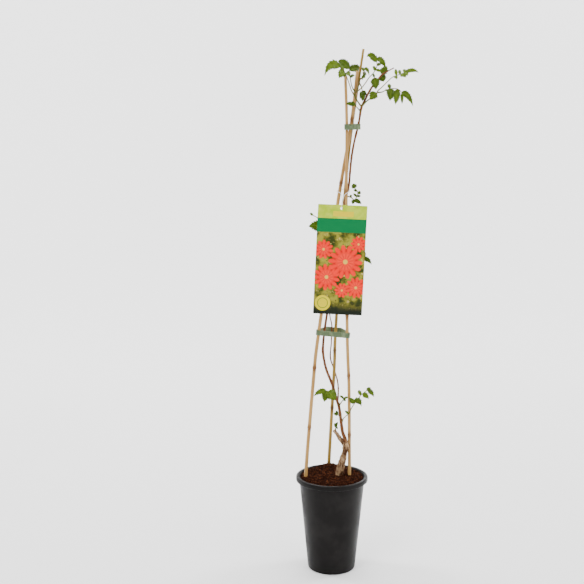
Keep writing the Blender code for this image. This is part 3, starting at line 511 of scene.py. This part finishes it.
def tag_print():
    """A plain printed tag: a light band with a bare label, a dark band, and round blossoms in a garden."""
    finish = Finish("printed tag", 0.15)
    sheet = finish.strip().scaled((TAG_WIDTH, TAG_HEIGHT, 1.0))
    x, y, _ = sheet.split()
    blur = sheet.cloud(0.055, 3.0, 0.5)
    spots = sheet.cloud(0.13, 4.0, 0.6)
    garden = blur.rise(0.36, 0.64).colour((0.030, 0.042, 0.005), (0.30, 0.27, 0.028))
    garden = spots.rise(0.58, 0.70).colour(garden, (0.55, 0.42, 0.12))
    garden = (1.0 - spots.rise(0.30, 0.42)).colour(garden, (0.016, 0.016, 0.003))
    garden = (1.0 - y.rise(4.0, 34.0)).colour(garden, (0.008, 0.012, 0.006))
    for one in BLOSSOMS:
        inside, inner, heart, shade = blossom(x, y, *one)
        petal = shade.colour((0.42, 0.002, 0.001), (0.90, 0.020, 0.008))
        petal = (inner * 0.45).colour(petal, (1.0, 0.060, 0.025))
        petal = heart.colour(petal, (0.75, 0.46, 0.06))
        garden = inside.colour(garden, petal)
    dark_foot, light_foot = BAND_FEET
    garden = y.rise(dark_foot - 0.4, dark_foot).colour(garden, (0.0, 0.15, 0.042))
    light = blur.rise(0.3, 0.7).colour((0.32, 0.47, 0.004), (0.50, 0.60, 0.045))
    garden = y.rise(light_foot - 0.4, light_foot).colour(garden, light)
    off_label = (abs(x - LABEL_CENTRE[0]) - LABEL_HALF[0]).greater(abs(y - LABEL_CENTRE[1]) - LABEL_HALF[1])
    garden = (1.0 - off_label.rise(0.0, 0.5)).colour(garden, (0.66, 0.52, 0.003))
    reach = distance(x, y, BADGE_CENTRE)
    garden = (1.0 - reach.rise(BADGE_RADIUS - 0.6, BADGE_RADIUS)).colour(garden, (0.64, 0.53, 0.003))
    low, high = BADGE_RING
    ring = reach.rise(low - 0.4, low) * (1.0 - reach.rise(high, high + 0.4))
    garden = ring.colour(garden, (0.06, 0.17, 0.02))
    return finish.paint(garden, 0.30 + blur * 0.08)


def tag_back():
    finish = Finish("tag back", 0.2)
    fibre = finish.place().cloud(500.0, 3.0)
    return finish.paint(fibre.colour((0.60, 0.64, 0.44), (0.70, 0.72, 0.54)), 0.36 + fibre * 0.12)


def studio_floor():
    finish = Finish("pale studio floor", 0.5)
    tone = finish.place().cloud(1.5, 2.0)
    return finish.paint(tone.colour((0.90, 0.90, 0.90), (0.93, 0.93, 0.93)), 0.65 + tone * 0.1)


def loose_object(name, data):
    item = bpy.data.objects.new(name, data)
    bpy.context.scene.collection.objects.link(item)
    return item


def add_piece(name, mesh, finishes, nodes=()):
    piece = loose_object(name, mesh)
    for finish in finishes:
        mesh.materials.append(finish.material)
    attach(piece, "root")
    if nodes:
        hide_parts(*nodes)


def bare_mesh(name, shape):
    mesh = bpy.data.meshes.new(name)
    shape.to_mesh(mesh)
    shape.free()
    return mesh


def with_modifiers(item):
    """Puts the shape that an object's modifiers give into a new mesh, and removes the object."""
    mesh = bpy.data.meshes.new_from_object(item.evaluated_get(bpy.context.evaluated_depsgraph_get()))
    bpy.data.objects.remove(item)
    return mesh


def circle(radius, sides, start=0.0):
    """Points round a circle, the first of them start sides past the X axis."""
    turns = [tau * (side + start) / sides for side in range(sides)]
    return [(radius * cos(turn), radius * sin(turn)) for turn in turns]


def between(points, place):
    """A point of the smooth curve through the points; place counts points from the first."""
    last = len(points) - 1
    index = min(int(place), last - 1)
    t = place - index
    before, start = points[max(index - 1, 0)], points[index]
    end, after = points[index + 1], points[min(index + 2, last)]
    return tuple(
        0.5 * (2 * b + (c - a) * t + (2 * a - 5 * b + 4 * c - d) * t**2 + (3 * b - a - 3 * c + d) * t**3)
        for a, b, c, d in zip(before, start, end, after))


def smooth_route(points, per_span):
    steps = (len(points) - 1) * per_span
    return [between(points, step / per_span) for step in range(steps + 1)]


def rings_round(route, sides, closed=False):
    """Rings of points round a route of x, y, z and radius in millimetres, and each ring's place along."""
    points = [Vector(point[:3]) * MM for point in route]
    count, across, rings, lengths = len(points), None, [], [0.0]
    for index, point in enumerate(points):
        if closed:
            ahead = points[(index + 1) % count] - points[index - 1]
        else:
            ahead = points[min(index + 1, count - 1)] - points[max(index - 1, 0)]
        ahead.normalize()
        across = across or ahead.orthogonal()
        across = (across - ahead * across.dot(ahead)).normalized()
        other, radius = ahead.cross(across), route[index][3] * MM
        rings.append([point + (across * a + other * b) * radius for a, b in circle(1.0, sides)])
        if index:
            lengths.append(lengths[-1] + (point - points[index - 1]).length)
    return rings, lengths


def turned_rings(profile, sides):
    """Rings for a round body from a profile of radius and height in millimetres."""
    rings = [[Vector((x, y, height)) * MM for x, y in circle(radius, sides)] for radius, height in profile]
    lengths = [0.0]
    for before, after in zip(profile, profile[1:]):
        lengths.append(lengths[-1] + dist(before, after) * MM)
    return rings, lengths


def quilt(shape, strip, rows, spans, lengths, closed=False):
    """Smooth faces between rows of points, spans of them across, with a map across and along."""
    pairs = list(zip(range(len(rows)), range(1, len(rows))))
    if closed:
        pairs.append((len(rows) - 1, 0))
    for low, high in pairs:
        for side in range(spans):
            after = (side + 1) % len(rows[low])
            face = shape.faces.new((rows[low][side], rows[low][after], rows[high][after], rows[high][side]))
            face.smooth = True
            places = ((side, low), (side + 1, low), (side + 1, high), (side, high))
            for loop, (column, row) in zip(face.loops, places):
                loop[strip].uv = (column / spans, lengths[row])


def loft(rings, lengths, marks=None, closed=False):
    """A skin over rings of points, with a mark on every ring, and capped unless its ends meet."""
    shape = bmesh.new()
    strip = shape.loops.layers.uv.new("strip")
    mark = shape.verts.layers.float.new("mark")
    rows = [[shape.verts.new(point) for point in ring] for ring in rings]
    for row, value in zip(rows, marks or [0.0] * len(rows)):
        for vert in row:
            vert[mark] = value
    quilt(shape, strip, rows, len(rows[0]), lengths, closed)
    if not closed:
        shape.faces.new(rows[0][::-1])
        shape.faces.new(rows[-1])
    return shape


# Pot and soil

def pot_radius(height):
    return POT_BASE_RADIUS + (POT_SHOULDER_RADIUS - POT_BASE_RADIUS) * height / (POT_HEIGHT - POT_LIP_DEPTH)


def rounded(profile):
    """Cuts the corners of a profile twice, so that they turn as moulded plastic does."""
    for _ in range(2):
        cut = [profile[0]]
        for (a, b), (c, d) in zip(profile, profile[1:]):
            cut += [(a * 0.75 + c * 0.25, b * 0.75 + d * 0.25), (a * 0.25 + c * 0.75, b * 0.25 + d * 0.75)]
        profile = cut + [profile[-1]]
    return profile


def pot_profile():
    """Radii and heights up the pot's inside, over the rolled rim, and down the wall to the foot."""
    top, lip = POT_HEIGHT, POT_HEIGHT - POT_LIP_DEPTH
    rim, mouth, shoulder, base = POT_RIM_RADIUS, POT_MOUTH_RADIUS, POT_SHOULDER_RADIUS, POT_BASE_RADIUS
    inside = [(AXIS_GAP, POT_FLOOR), (base - 5, POT_FLOOR), (base - 1.6, 4.0)]
    inside += [(pot_radius(height) - POT_WALL, height) for height in (40, 90, 140)]
    crown = [(mouth, lip + 5), (mouth + 0.5, top - 2.4), (mouth + 2.2, top), (rim - 2.2, top),
             (rim, top - 1.6), (rim, lip + 1.0), (rim - 0.4, lip), (rim - 1.6, lip), (rim - 1.8, lip + 5.4),
             (rim - 3.4, lip + 6.8), (mouth + 3, lip + 6.8), (shoulder + 0.4, lip + 5.0),
             (shoulder, lip - 1.0)]
    wall = [(pot_radius(height), height) for height in (160, 130, 100, 70, 40, 16, 6)]
    foot = [(base - 0.2, 1.6), (base - 2.0, 0), (base - 5, 0), (AXIS_GAP, 0)]
    return rounded(inside + crown)[:-1] + rounded(crown[-1:] + wall + foot)


def make_pot(plastic):
    body = loft(*turned_rings(pot_profile()[::-1], POT_SIDES))
    pot = loose_object("pot body", bare_mesh("pot body", body))
    drills = []
    for x, y in circle(DRAIN_CIRCLE, DRAIN_HOLES, 0.5):
        drill = [[Vector((x + a, y + b, height)) * MM for a, b in circle(DRAIN_RADIUS, DRAIN_SIDES)]
                 for height in (-4.0, 4.0)]
        drills.append(loose_object("drill", bare_mesh("drill", loft(drill, (0.0, 0.008)))))
        cut = pot.modifiers.new("drain hole", "BOOLEAN")
        cut.operation, cut.object = "DIFFERENCE", drills[-1]
    mesh = with_modifiers(pot)
    for drill in drills:
        bpy.data.objects.remove(drill)
    add_piece("nursery_pot", mesh, [plastic], ["pot"])


def soil_height(x, y):
    """The soil's surface over a point, all in millimetres."""
    radius = hypot(x, y)
    shoulder = max(1 - (radius / (POT_MOUTH_RADIUS - 0.5)) ** 8, 0)
    heap = SOIL_HEAP * exp(-0.5 * (hypot(x - SOIL_HEAP_X, y - SOIL_HEAP_Y) / SOIL_HEAP_WIDTH) ** 2)
    lump = 1.1 * noise.noise(Vector((x, y, 0)) * 0.11)
    clod = 0.9 * noise.noise(Vector((x, y, 7)) * 0.30) + 0.5 * noise.noise(Vector((x, y, 3)) * 0.8)
    return SOIL_EDGE + (SOIL_MOUND + heap) * shoulder + (lump + clod) * min(1, 4 * shoulder + 0.2)


def make_bed(peat):
    """The bed of peat: its rough surface from the middle out, then its skirt inside the pot."""
    steps = range(1, SOIL_RINGS + 1)
    radii = [AXIS_GAP] + [SOIL_RADIUS * (step / SOIL_RINGS) ** 0.8 for step in steps]
    surface = [[Vector((x, y, soil_height(x, y))) * MM for x, y in circle(radius, POT_SIDES)]
               for radius in radii]
    skirt, _ = turned_rings([(pot_radius(150) - 2.2, 150), (pot_radius(20) - 2.4, 20),
                             (POT_BASE_RADIUS - 5, 2.4), (AXIS_GAP, 2.4)], POT_SIDES)
    count = len(surface) + len(skirt)
    bed = loft(surface + skirt, [MM * index for index in range(count)], [SOIL_TINT] * count)
    bmesh.ops.reverse_faces(bed, faces=bed.faces)
    add_piece("peat_bed", bare_mesh("peat bed", bed), [peat], ["soil"])


def loose_bits(draw):
    """Size, form and tint of each crumb, then of each flat chip, then of each fibre."""
    bits = []
    for _ in range(CRUMBS):
        size = draw.uniform(0.5, 1.5) * draw.choice((0.7, 1.0, 1.35))
        form = (1, draw.uniform(0.6, 1), draw.uniform(0.5, 0.9))
        bits.append((size, form, draw.random() ** 2.2))
    for _ in range(CHIPS):
        size = draw.uniform(1.5, 3.4)
        form = (1, draw.uniform(0.35, 0.7), draw.uniform(0.14, 0.3))
        bits.append((size, form, 0.3 + 0.7 * draw.random()))
    for _ in range(FIBRES):
        size = draw.uniform(3.0, 6.5)
        bits.append((size, (1, 0.07, 0.07), 0.6 + 0.4 * draw.random()))
    return bits


def make_crumbs(peat):
    draw, rough = random.Random(BIT_SEED), np.random.default_rng(ROUGHNESS_SEED)
    bits = loose_bits(draw)
    ball = bmesh.new()
    bmesh.ops.create_icosphere(ball, subdivisions=1, radius=1.0)
    corners = np.array([vert.co[:] for vert in ball.verts])
    sides = np.array([[vert.index for vert in face.verts] for face in ball.faces])
    ball.free()
    places, faces, tints = [], [], []
    for size, form, tint in bits:
        while True:
            radius, angle = (SOIL_RADIUS - 1.2) * sqrt(draw.random()), draw.uniform(0, tau)
            x, y = radius * cos(angle), radius * sin(angle)
            if all(hypot(x - a, y - b) > c for a, b, c in KEPT_CLEAR):
                break
        turn = Matrix.Rotation(draw.uniform(0, tau), 3, "Z")
        turn = turn @ Matrix.Rotation(draw.gauss(0, 0.5), 3, "Y")
        bit = corners * rough.uniform(0.7, 1.2, (len(corners), 1)) * np.array(form) * size
        bit = bit @ np.array(turn).T + (x, y, soil_height(x, y) + size * form[2] * draw.uniform(0.1, 0.7))
        faces.append(sides + len(corners) * len(places))
        places.append(bit * MM)
        tints += [tint] * len(corners)
    mesh = bpy.data.meshes.new("peat crumbs")
    mesh.from_pydata(np.concatenate(places).tolist(), [], np.concatenate(faces).tolist())
    mesh.attributes.new("mark", "FLOAT", "POINT").data.foreach_set("value", tints)
    add_piece("peat_crumbs", mesh, [peat])


# Canes and wood

def cane_stops(foot, top, joints):
    """Heights of a cane's rings, evenly spaced and closer near each joint."""
    even = {foot, top} | {foot + CANE_STEP * step for step in range(int((top - foot) / CANE_STEP))}
    even = {z for z in even if all(abs(z - joint) > JOINT_STEPS[-1] for joint in joints)}
    near = {joint + step for joint in joints for step in JOINT_STEPS}
    return sorted(even | {z for z in near if foot < z < top})


def make_cane(side, finish):
    points, radii, first = CANES[side]
    joints = [first + JOINT_SPACING * number for number in range(JOINTS)]
    line = smooth_route(points, 40)
    heights = [point[2] for point in line]
    foot, top = heights[0], heights[-1]
    route, marks = [], []
    for height in cane_stops(foot, top, joints):
        index = max(i for i, z in enumerate(heights[:-1]) if z <= height)
        share = (height - heights[index]) / (heights[index + 1] - heights[index])
        x, y, z = (a + (b - a) * share for a, b in zip(line[index], line[index + 1]))
        off = min((height - joint for joint in joints), key=abs)
        swell = JOINT_SWELL * exp(-(off / 2.4) ** 2) - JOINT_GROOVE * exp(-((off + 2.6) / 0.9) ** 2)
        wander = CANE_WANDER * noise.noise(Vector((x, y, height * 0.04)))
        radius = radii[0] + (radii[1] - radii[0]) * (height - foot) / (top - foot)
        route.append((x, y, z, radius * (1 + swell + wander)))
        marks.append(exp(-(max(abs(off) - 1, 0) / 6) ** 2))
    end, before = Vector(route[-1][:3]), Vector(route[-2][:3])
    lean, end = (end - before).normalized(), end * MM
    rings, lengths = rings_round(route, CANE_SIDES)
    rim = rings[-1]
    for share, depth, mark in CUT_END:
        rings.append([end + (point - end) * share - lean * depth * MM for point in rim])
        lengths.append(lengths[-1] + 0.0005)
        marks.append(mark)
    add_piece(f"bamboo_cane_{side}", bare_mesh("cane", loft(rings, lengths, marks)), [finish],
              [f"cane_{side}"])


def with_knuckles(route, spacing, swell):
    """Swells a stem where pairs of leaves stood."""
    grown = []
    for x, y, z, radius in route:
        off = (z / spacing + 0.5) % 1 - 0.5
        grown.append((x, y, z, radius * (1 + swell * exp(-(off * spacing / 3.0) ** 2))))
    return grown


def grown_together(routes):
    """One skin round all routes and the knobs at their fork. Smoothing takes SMOOTHED_AWAY off it."""
    shape = bmesh.new()
    for route in routes:
        thick = [(x, y, z, radius + SMOOTHED_AWAY) for x, y, z, radius in route]
        mesh = bare_mesh("wood", loft(*rings_round(thick, WOOD_SIDES)))
        shape.from_mesh(mesh)
        bpy.data.meshes.remove(mesh)
    for centre, radius in WOOD_KNOBS:
        bmesh.ops.create_icosphere(shape, subdivisions=3, radius=radius * MM,
                                   matrix=Matrix.Translation(Vector(centre) * MM))
    raw = loose_object("raw wood", bare_mesh("raw wood", shape))
    remesh = raw.modifiers.new("one skin", "REMESH")
    remesh.mode, remesh.voxel_size = "VOXEL", WOOD_VOXEL * MM
    soften = raw.modifiers.new("soften", "SMOOTH")
    soften.factor, soften.iterations = 0.5, 3
    return with_modifiers(raw)


def vectors(items, field):
    flat = np.empty(len(items) * 3)
    items.foreach_get(field, flat)
    return flat.reshape(-1, 3)


def gap_to(places, route):
    """How far each place is from the skin round a route, in metres."""
    gap = np.full(len(places), np.inf)
    for *spot, radius in route:
        gap = np.minimum(gap, np.linalg.norm(places - np.array(spot) * MM, axis=1) - radius * MM)
    return gap


def youth(places, trunk, stub, main, thin):
    """From 0 on the trunk and the stub to 1 on the stems, and 0 below the height where they part."""
    nearer = gap_to(places, trunk + stub) - gap_to(places, main + thin)
    return np.clip(nearer / 0.002 + 0.35, 0, 1) * np.clip((places[:, 2] - 0.246) / 0.024, 0, 1)


def bark_depth(spot, young):
    """How far the skin stands out, in millimetres: ridges and flakes on old wood, lumps on young."""
    ridge = noise.noise(Vector((spot.x * 0.42, spot.y * 0.42, spot.z * 0.085)))
    flake = noise.noise(Vector((spot.x, spot.y, spot.z * 0.3)) * 0.95)
    lump = noise.noise(spot * 0.16)
    old = 1.5 * abs(ridge) - 0.35 + 0.28 * flake
    return old * (1 - young) + 0.16 * ridge * young + 0.25 * lump * young


def make_wood(finish):
    """Trunk, stub and both stems grown together in one skin, with ridged and peeling bark."""
    routes = [smooth_route(points, 8) for points in (TRUNK, CUT_STUB, MAIN_STEM, THIN_STEM)]
    routes[2] = with_knuckles(routes[2], *STEM_KNUCKLES)
    mesh = grown_together(routes)
    places, facing = vectors(mesh.vertices, "co"), vectors(mesh.vertex_normals, "vector")
    young = youth(places, *routes)
    mesh.attributes.new("young", "FLOAT", "POINT").data.foreach_set("value", young)
    depths = np.array([bark_depth(Vector(place) / MM, share) for place, share in zip(places, young)])
    mesh.vertices.foreach_set("co", (places + facing * depths[:, None] * MM).ravel())
    mesh.update()
    mesh.shade_smooth()
    add_piece("vine_wood", mesh, [finish], ["woody_stem"])


def seat_on(stem, point):
    """Where a stalk that goes by a point starts, with its end just inside the skin of its stem."""
    point = Vector(point)
    *middle, radius = min(stem, key=lambda spot: (Vector(spot[:3]) - point).length)
    middle = Vector(middle)
    return middle + (point - middle).normalized() * (radius * STALK_SEAT)


def make_shoot(side, main_route, finish):
    first, *others = SHOOTS[side]
    route = smooth_route([(*seat_on(main_route, first[:3]), first[3])] + others, 10)
    shape = loft(*rings_round(with_knuckles(route, *SHOOT_KNUCKLES), SHOOT_SIDES))
    add_piece(f"green_shoot_{side}", bare_mesh("shoot", shape), [finish], [f"shoot_{side}"])
    return route


# Leaves

def half_width(t, width):
    """Half the blade's width: broad near the root, drawn out to a long tip."""
    if not 0 < t < 1:
        return 0.0
    drawn = 1 - TIP_DRAWN * min(max((t - TIP_START) / TIP_RISE, 0), 1)
    return width * BLADE_FULLNESS * drawn * sin(pi * t ** BLADE_TAPER) ** 0.9


def leaflet(shape, layers, root, tip, width, arch, facing, shade_and_age, draw):
    """One toothed blade: arched along, folded at its midrib, waved at its margins."""
    strip, shade_and_age_layer = layers
    length = (tip - root).length / MM
    teeth = 8 if length > 20 else 6 if length > 12 else 4
    columns = 8 if length > 12 else 6
    rows = teeth * STEPS_PER_TOOTH
    crest = root.lerp(tip, BLADE_CREST_PLACE) + Vector((0, 0, 2 * arch * MM))
    phase, twist = draw.uniform(0, tau), radians(draw.uniform(-BLADE_TWIST, BLADE_TWIST))
    grid = []
    for row in range(rows + 1):
        t = row / rows
        centre = root * (1 - t) ** 2 + crest * (2 * t * (1 - t)) + tip * t**2
        along = ((crest - root) * (1 - t) + (tip - crest) * t).normalized()
        side = (Matrix.Rotation(twist * t, 3, along) @ along.cross(facing)).normalized()
        up = side.cross(along)
        step = (row % STEPS_PER_TOOTH) / STEPS_PER_TOOTH
        tooth = TOOTH_FOOT + TOOTH_RISE * step
        plain, least = half_width(t, width), LEAST_HALF_WIDTH if 0 < t < 0.9 else 0.0
        grid.append([])
        for column in range(columns + 1):
            across = 2 * column / columns - 1
            share = abs(across)
            edge = share**3
            half = max(plain * (1 + (tooth - 1) * edge), least) * MM
            wave = BLADE_WAVE * sin(5.5 * pi * t + phase + (1.4 if across > 0 else 0)) * share
            fold = BLADE_KEEL * share ** 1.2 - BLADE_DROOP * share**4
            forward = along * (edge * step * length * MM * TOOTH_LEAN / teeth)
            vert = shape.verts.new(centre + side * across * half + up * half * (fold + wave)
                                   + forward * min(1, plain / (0.3 * width)))
            # The leaflet's darkness: painted shade and age together
            vert[shade_and_age_layer] = shade_and_age
            grid[-1].append(vert)
    quilt(shape, strip, grid, columns, [row / rows for row in range(rows + 1)])


def stalk_mesh(points):
    """A leaf's stalk, thickest at its foot."""
    last, route = len(points) - 1, []
    for step in range(last * STALK_STEPS + 1):
        share = step / (last * STALK_STEPS)
        radius = STALK_RADII[0] + (STALK_RADII[1] - STALK_RADII[0]) * share
        swell = 1 + STALK_SWELL * exp(-(share * last * 1.5) ** 2)
        route.append((*between(points, share * last), radius * swell))
    shape = loft(*rings_round(route, STALK_SIDES))
    for face in shape.faces:
        face.material_index = STALK
    return bare_mesh("stalk", shape)


def make_frond(name, stem, finishes, draw):
    """A leaf stalk and its leaflets, with the upper and under sides finished apart."""
    points, facing, shade_and_age, leaflets = FRONDS[name]
    points = (tuple(seat_on(stem, points[0])), *points[1:])
    facing = Vector((facing[0], -1, facing[1])).normalized()
    shape = bmesh.new()
    layers = shape.loops.layers.uv.new("strip"), shape.verts.layers.float.new("shade_and_age")
    for along, *offset, width, arch in leaflets:
        root = Vector(between(points, along * (len(points) - 1))) * MM
        # Each leaflet's darkness, painted shade and age, drawn round its leaf's
        shade = min(max(shade_and_age + draw.uniform(-SHADE_AND_AGE_SPREAD, SHADE_AND_AGE_SPREAD), 0), 1)
        leaflet(shape, layers, root, root + Vector(offset) * MM, width, arch, facing, shade, draw)
    bmesh.ops.remove_doubles(shape, verts=shape.verts, dist=BLADE_WELD)
    blades = loose_object("blades", bare_mesh("blades", shape))
    for finish in finishes:
        blades.data.materials.append(finish.material)
    thicken = blades.modifiers.new("thickness", "SOLIDIFY")
    thicken.thickness, thicken.offset, thicken.material_offset = BLADE_THICKNESS * MM, 0.0, UNDER_SIDE
    whole = bmesh.new()
    whole.from_mesh(with_modifiers(blades))
    whole.from_mesh(stalk_mesh(points))
    add_piece(f"leaf_{name}", bare_mesh(f"frond_{name}", whole), finishes, [f"frond_{name}"])


# Clips, tag and tie

def make_clip(side, finish):
    """A strip with rounded edges, pulled round its corners."""
    centre, tilt, corners = CLIPS[side]
    turn = Matrix.Translation(Vector(centre) * MM) @ Matrix.Rotation(radians(tilt), 4, "Y")
    middle, tall, section = CLIP_WALL / 2, CLIP_HEIGHT / 2, []
    for sign_out, sign_up in ((1, -1), (1, 1), (-1, 1), (-1, -1)):
        for step in range(4):
            angle = atan2(sign_up, sign_out) - pi / 4 + step * pi / 6
            section.append((middle + sign_out * (middle - CLIP_EDGE) + CLIP_EDGE * cos(angle),
                            sign_up * (tall - CLIP_EDGE) + CLIP_EDGE * sin(angle)))
    rings, lengths = [], [0.0]
    for across, along in circle(1.0, CLIP_STEPS):
        x, y, radius = max(corners, key=lambda corner: corner[0] * across + corner[1] * along + corner[2])
        rings.append([turn @ (Vector((x + (radius + out) * across, y + (radius + out) * along, up)) * MM)
                      for out, up in section])
        if len(rings) > 1:
            lengths.append(lengths[-1] + (rings[-1][0] - rings[-2][0]).length)
    shape = loft(rings, lengths, closed=True)
    bmesh.ops.recalc_face_normals(shape, faces=shape.faces)
    add_piece(f"strip_clip_{side}", bare_mesh("clip", shape), [finish], [f"clip_{side}"])


def tag_outline():
    """The card's edge in millimetres, with small round corners."""
    outline = []
    for x, y, first in ((TAG_RIGHT, TAG_BOTTOM, -90), (TAG_RIGHT, TAG_TOP, 0), (TAG_LEFT, TAG_TOP, 90),
                        (TAG_LEFT, TAG_BOTTOM, 180)):
        x, y = x - copysign(TAG_CORNER, x), y - copysign(TAG_CORNER, y)
        for step in range(5):
            angle = radians(first + 22.5 * step)
            outline.append((x + TAG_CORNER * cos(angle), y + TAG_CORNER * sin(angle)))
    return outline


def flat_tag():
    """The punched card, cut across both ways so that it can bow."""
    curve = bpy.data.curves.new("tag", "CURVE")
    curve.dimensions, curve.fill_mode, curve.extrude = "2D", "BOTH", TAG_THICKNESS * MM / 2
    for line in (tag_outline(), circle(TAG_HOLE_RADIUS, TAG_HOLE_SIDES)):
        spline = curve.splines.new("POLY")
        spline.points.add(len(line) - 1)
        spline.use_cyclic_u = True
        for point, (x, y) in zip(spline.points, line):
            point.co = (x * MM, y * MM, 0.0, 1.0)
    shape = bmesh.new()
    shape.from_mesh(with_modifiers(loose_object("tag", curve)))
    bmesh.ops.remove_doubles(shape, verts=shape.verts, dist=TAG_WELD)
    for low, size, way in ((TAG_LEFT, TAG_WIDTH, (1, 0, 0)), (TAG_BOTTOM, TAG_HEIGHT, (0, 1, 0))):
        for step in range(1, TAG_CUTS):
            place = Vector(way) * ((low + size * step / TAG_CUTS) * MM)
            bmesh.ops.bisect_plane(shape, geom=shape.verts[:] + shape.edges[:] + shape.faces[:],
                                   plane_co=place, plane_no=Vector(way))
    return shape


def make_tag(front, back):
    """A thin card hung by its hole and bowed a little across, with its print mapped over the front."""
    shape = flat_tag()
    for layer in list(shape.loops.layers.uv):
        shape.loops.layers.uv.remove(layer)
    strip = shape.loops.layers.uv.new("strip")
    for face in shape.faces:
        face.smooth = False
        face.material_index = 0 if face.normal.z > 0.5 else 1
        for loop in face.loops:
            x, y = loop.vert.co.x / MM, loop.vert.co.y / MM
            loop[strip].uv = ((x - TAG_LEFT) / TAG_WIDTH, (y - TAG_BOTTOM) / TAG_HEIGHT)
    for vert in shape.verts:
        below = min(1, max(0, -vert.co.y / (TAG_BOW_START * MM)))
        vert.co.z -= TAG_BOW * MM * (vert.co.x / (TAG_BOW_REACH * MM)) ** 2 * below
    hang = Matrix.Translation(Vector(TAG_HOLE_PLACE) * MM)
    hang = hang @ Matrix.Rotation(radians(TAG_ROLL), 4, "Y")
    hang = hang @ Matrix.Rotation(radians(90 + TAG_LEAN), 4, "X")
    shape.transform(hang)
    add_piece("printed_hang_tag", bare_mesh("hang tag", shape), [front, back], ["hang_tag"])


def make_tie(finish):
    points = TIE_ROUTE + TIE_ROUTE[:1]
    route = [(*between(points, step / TIE_STEPS), TIE_RADIUS) for step in range(len(TIE_ROUTE) * TIE_STEPS)]
    shape = loft(*rings_round(route, TIE_SIDES, closed=True), closed=True)
    add_piece("white_tie", bare_mesh("tie", shape), [finish], ["tag_tie"])


# Studio

def make_stage():
    """A pale floor that sweeps up behind the plant."""
    line = [(-STAGE_REACH, 0.0), (STAGE_TURN, 0.0)]
    for angle in map(radians, range(9, 91, 9)):
        line.append((STAGE_TURN + STAGE_SWEEP * sin(angle), STAGE_SWEEP - STAGE_SWEEP * cos(angle)))
    line.append((STAGE_TURN + STAGE_SWEEP, STAGE_TOP))
    verts = [(x, y, z) for x in (-STAGE_REACH, STAGE_REACH) for y, z in line]
    count = len(line)
    mesh = bpy.data.meshes.new("studio floor")
    mesh.from_pydata(verts, [], [(i, i + count, i + count + 1, i + 1) for i in range(count - 1)])
    mesh.shade_smooth()
    floor = loose_object("studio_floor", mesh)
    mesh.materials.append(studio_floor().material)


def add_light(name, place, target, size, power):
    lamp = bpy.data.lights.new(name, "AREA")
    lamp.shape, lamp.size, lamp.energy = "SQUARE", size, power
    light = loose_object(name, lamp)
    light.location = place
    light.rotation_euler = (Vector(target) - Vector(place)).to_track_quat("-Z", "Y").to_euler()


def make_studio():
    make_stage()
    for light in LIGHTS:
        add_light(*light)
    world = bpy.data.worlds.new("studio air")
    bpy.context.scene.world = world
    world.use_nodes = True
    air = world.node_tree.nodes["Background"].inputs
    air["Color"].default_value = (1, 1, 1, 1)
    air["Strength"].default_value = AIR_BRIGHTNESS
    camera = loose_object("camera", bpy.data.cameras.new("camera"))
    camera.data.lens, camera.data.sensor_width = CAMERA_LENS, CAMERA_SENSOR
    camera.location = CAMERA_PLACE
    camera.rotation_euler = (radians(90 - CAMERA_PITCH), 0, 0)
    bpy.context.scene.camera = camera


def main():
    make_pot(black_pot_plastic())
    peat = peat_crumb()
    make_bed(peat)
    make_crumbs(peat)
    dry = bamboo("dry bamboo", (0.46, 0.27, 0.085), (0.29, 0.150, 0.040), (0.115, 0.037, 0.010))
    ripe = bamboo("golden bamboo", (0.33, 0.210, 0.038), (0.20, 0.115, 0.018), (0.075, 0.027, 0.008))
    make_cane("left", dry)
    make_cane("right", dry)
    make_cane("back", ripe)
    make_wood(vine_wood())
    stalk = green_stalk()
    stems = {"main": smooth_route(MAIN_STEM, 20), "thin": smooth_route(THIN_STEM, 20),
             "stub": smooth_route(CUT_STUB, 20)}
    for side in SHOOTS:
        stems[side] = make_shoot(side, stems["main"], stalk)
    upper = leaf_side("leaf upper side", (0.100, 0.162, 0.002), (0.034, 0.066, 0.002),
                      (0.16, 0.235, 0.012), 0.36)
    # The under side's darker colours are painted shade; its higher roughness is its own
    under = leaf_side("leaf under side", (0.078, 0.122, 0.006), (0.034, 0.060, 0.004),
                      (0.125, 0.17, 0.022), 0.49)
    draw = random.Random(LEAF_SEED)
    for name in FRONDS:
        stem = next((key for key, names in STEMS_OF_FRONDS.items() if name in names), "main")
        make_frond(name, stems[stem], [upper, under, stalk], draw)
    green = clip_green()
    for side in CLIPS:
        make_clip(side, green)
    make_tag(tag_print(), tag_back())
    make_tie(white_cord())
    make_studio()


main()
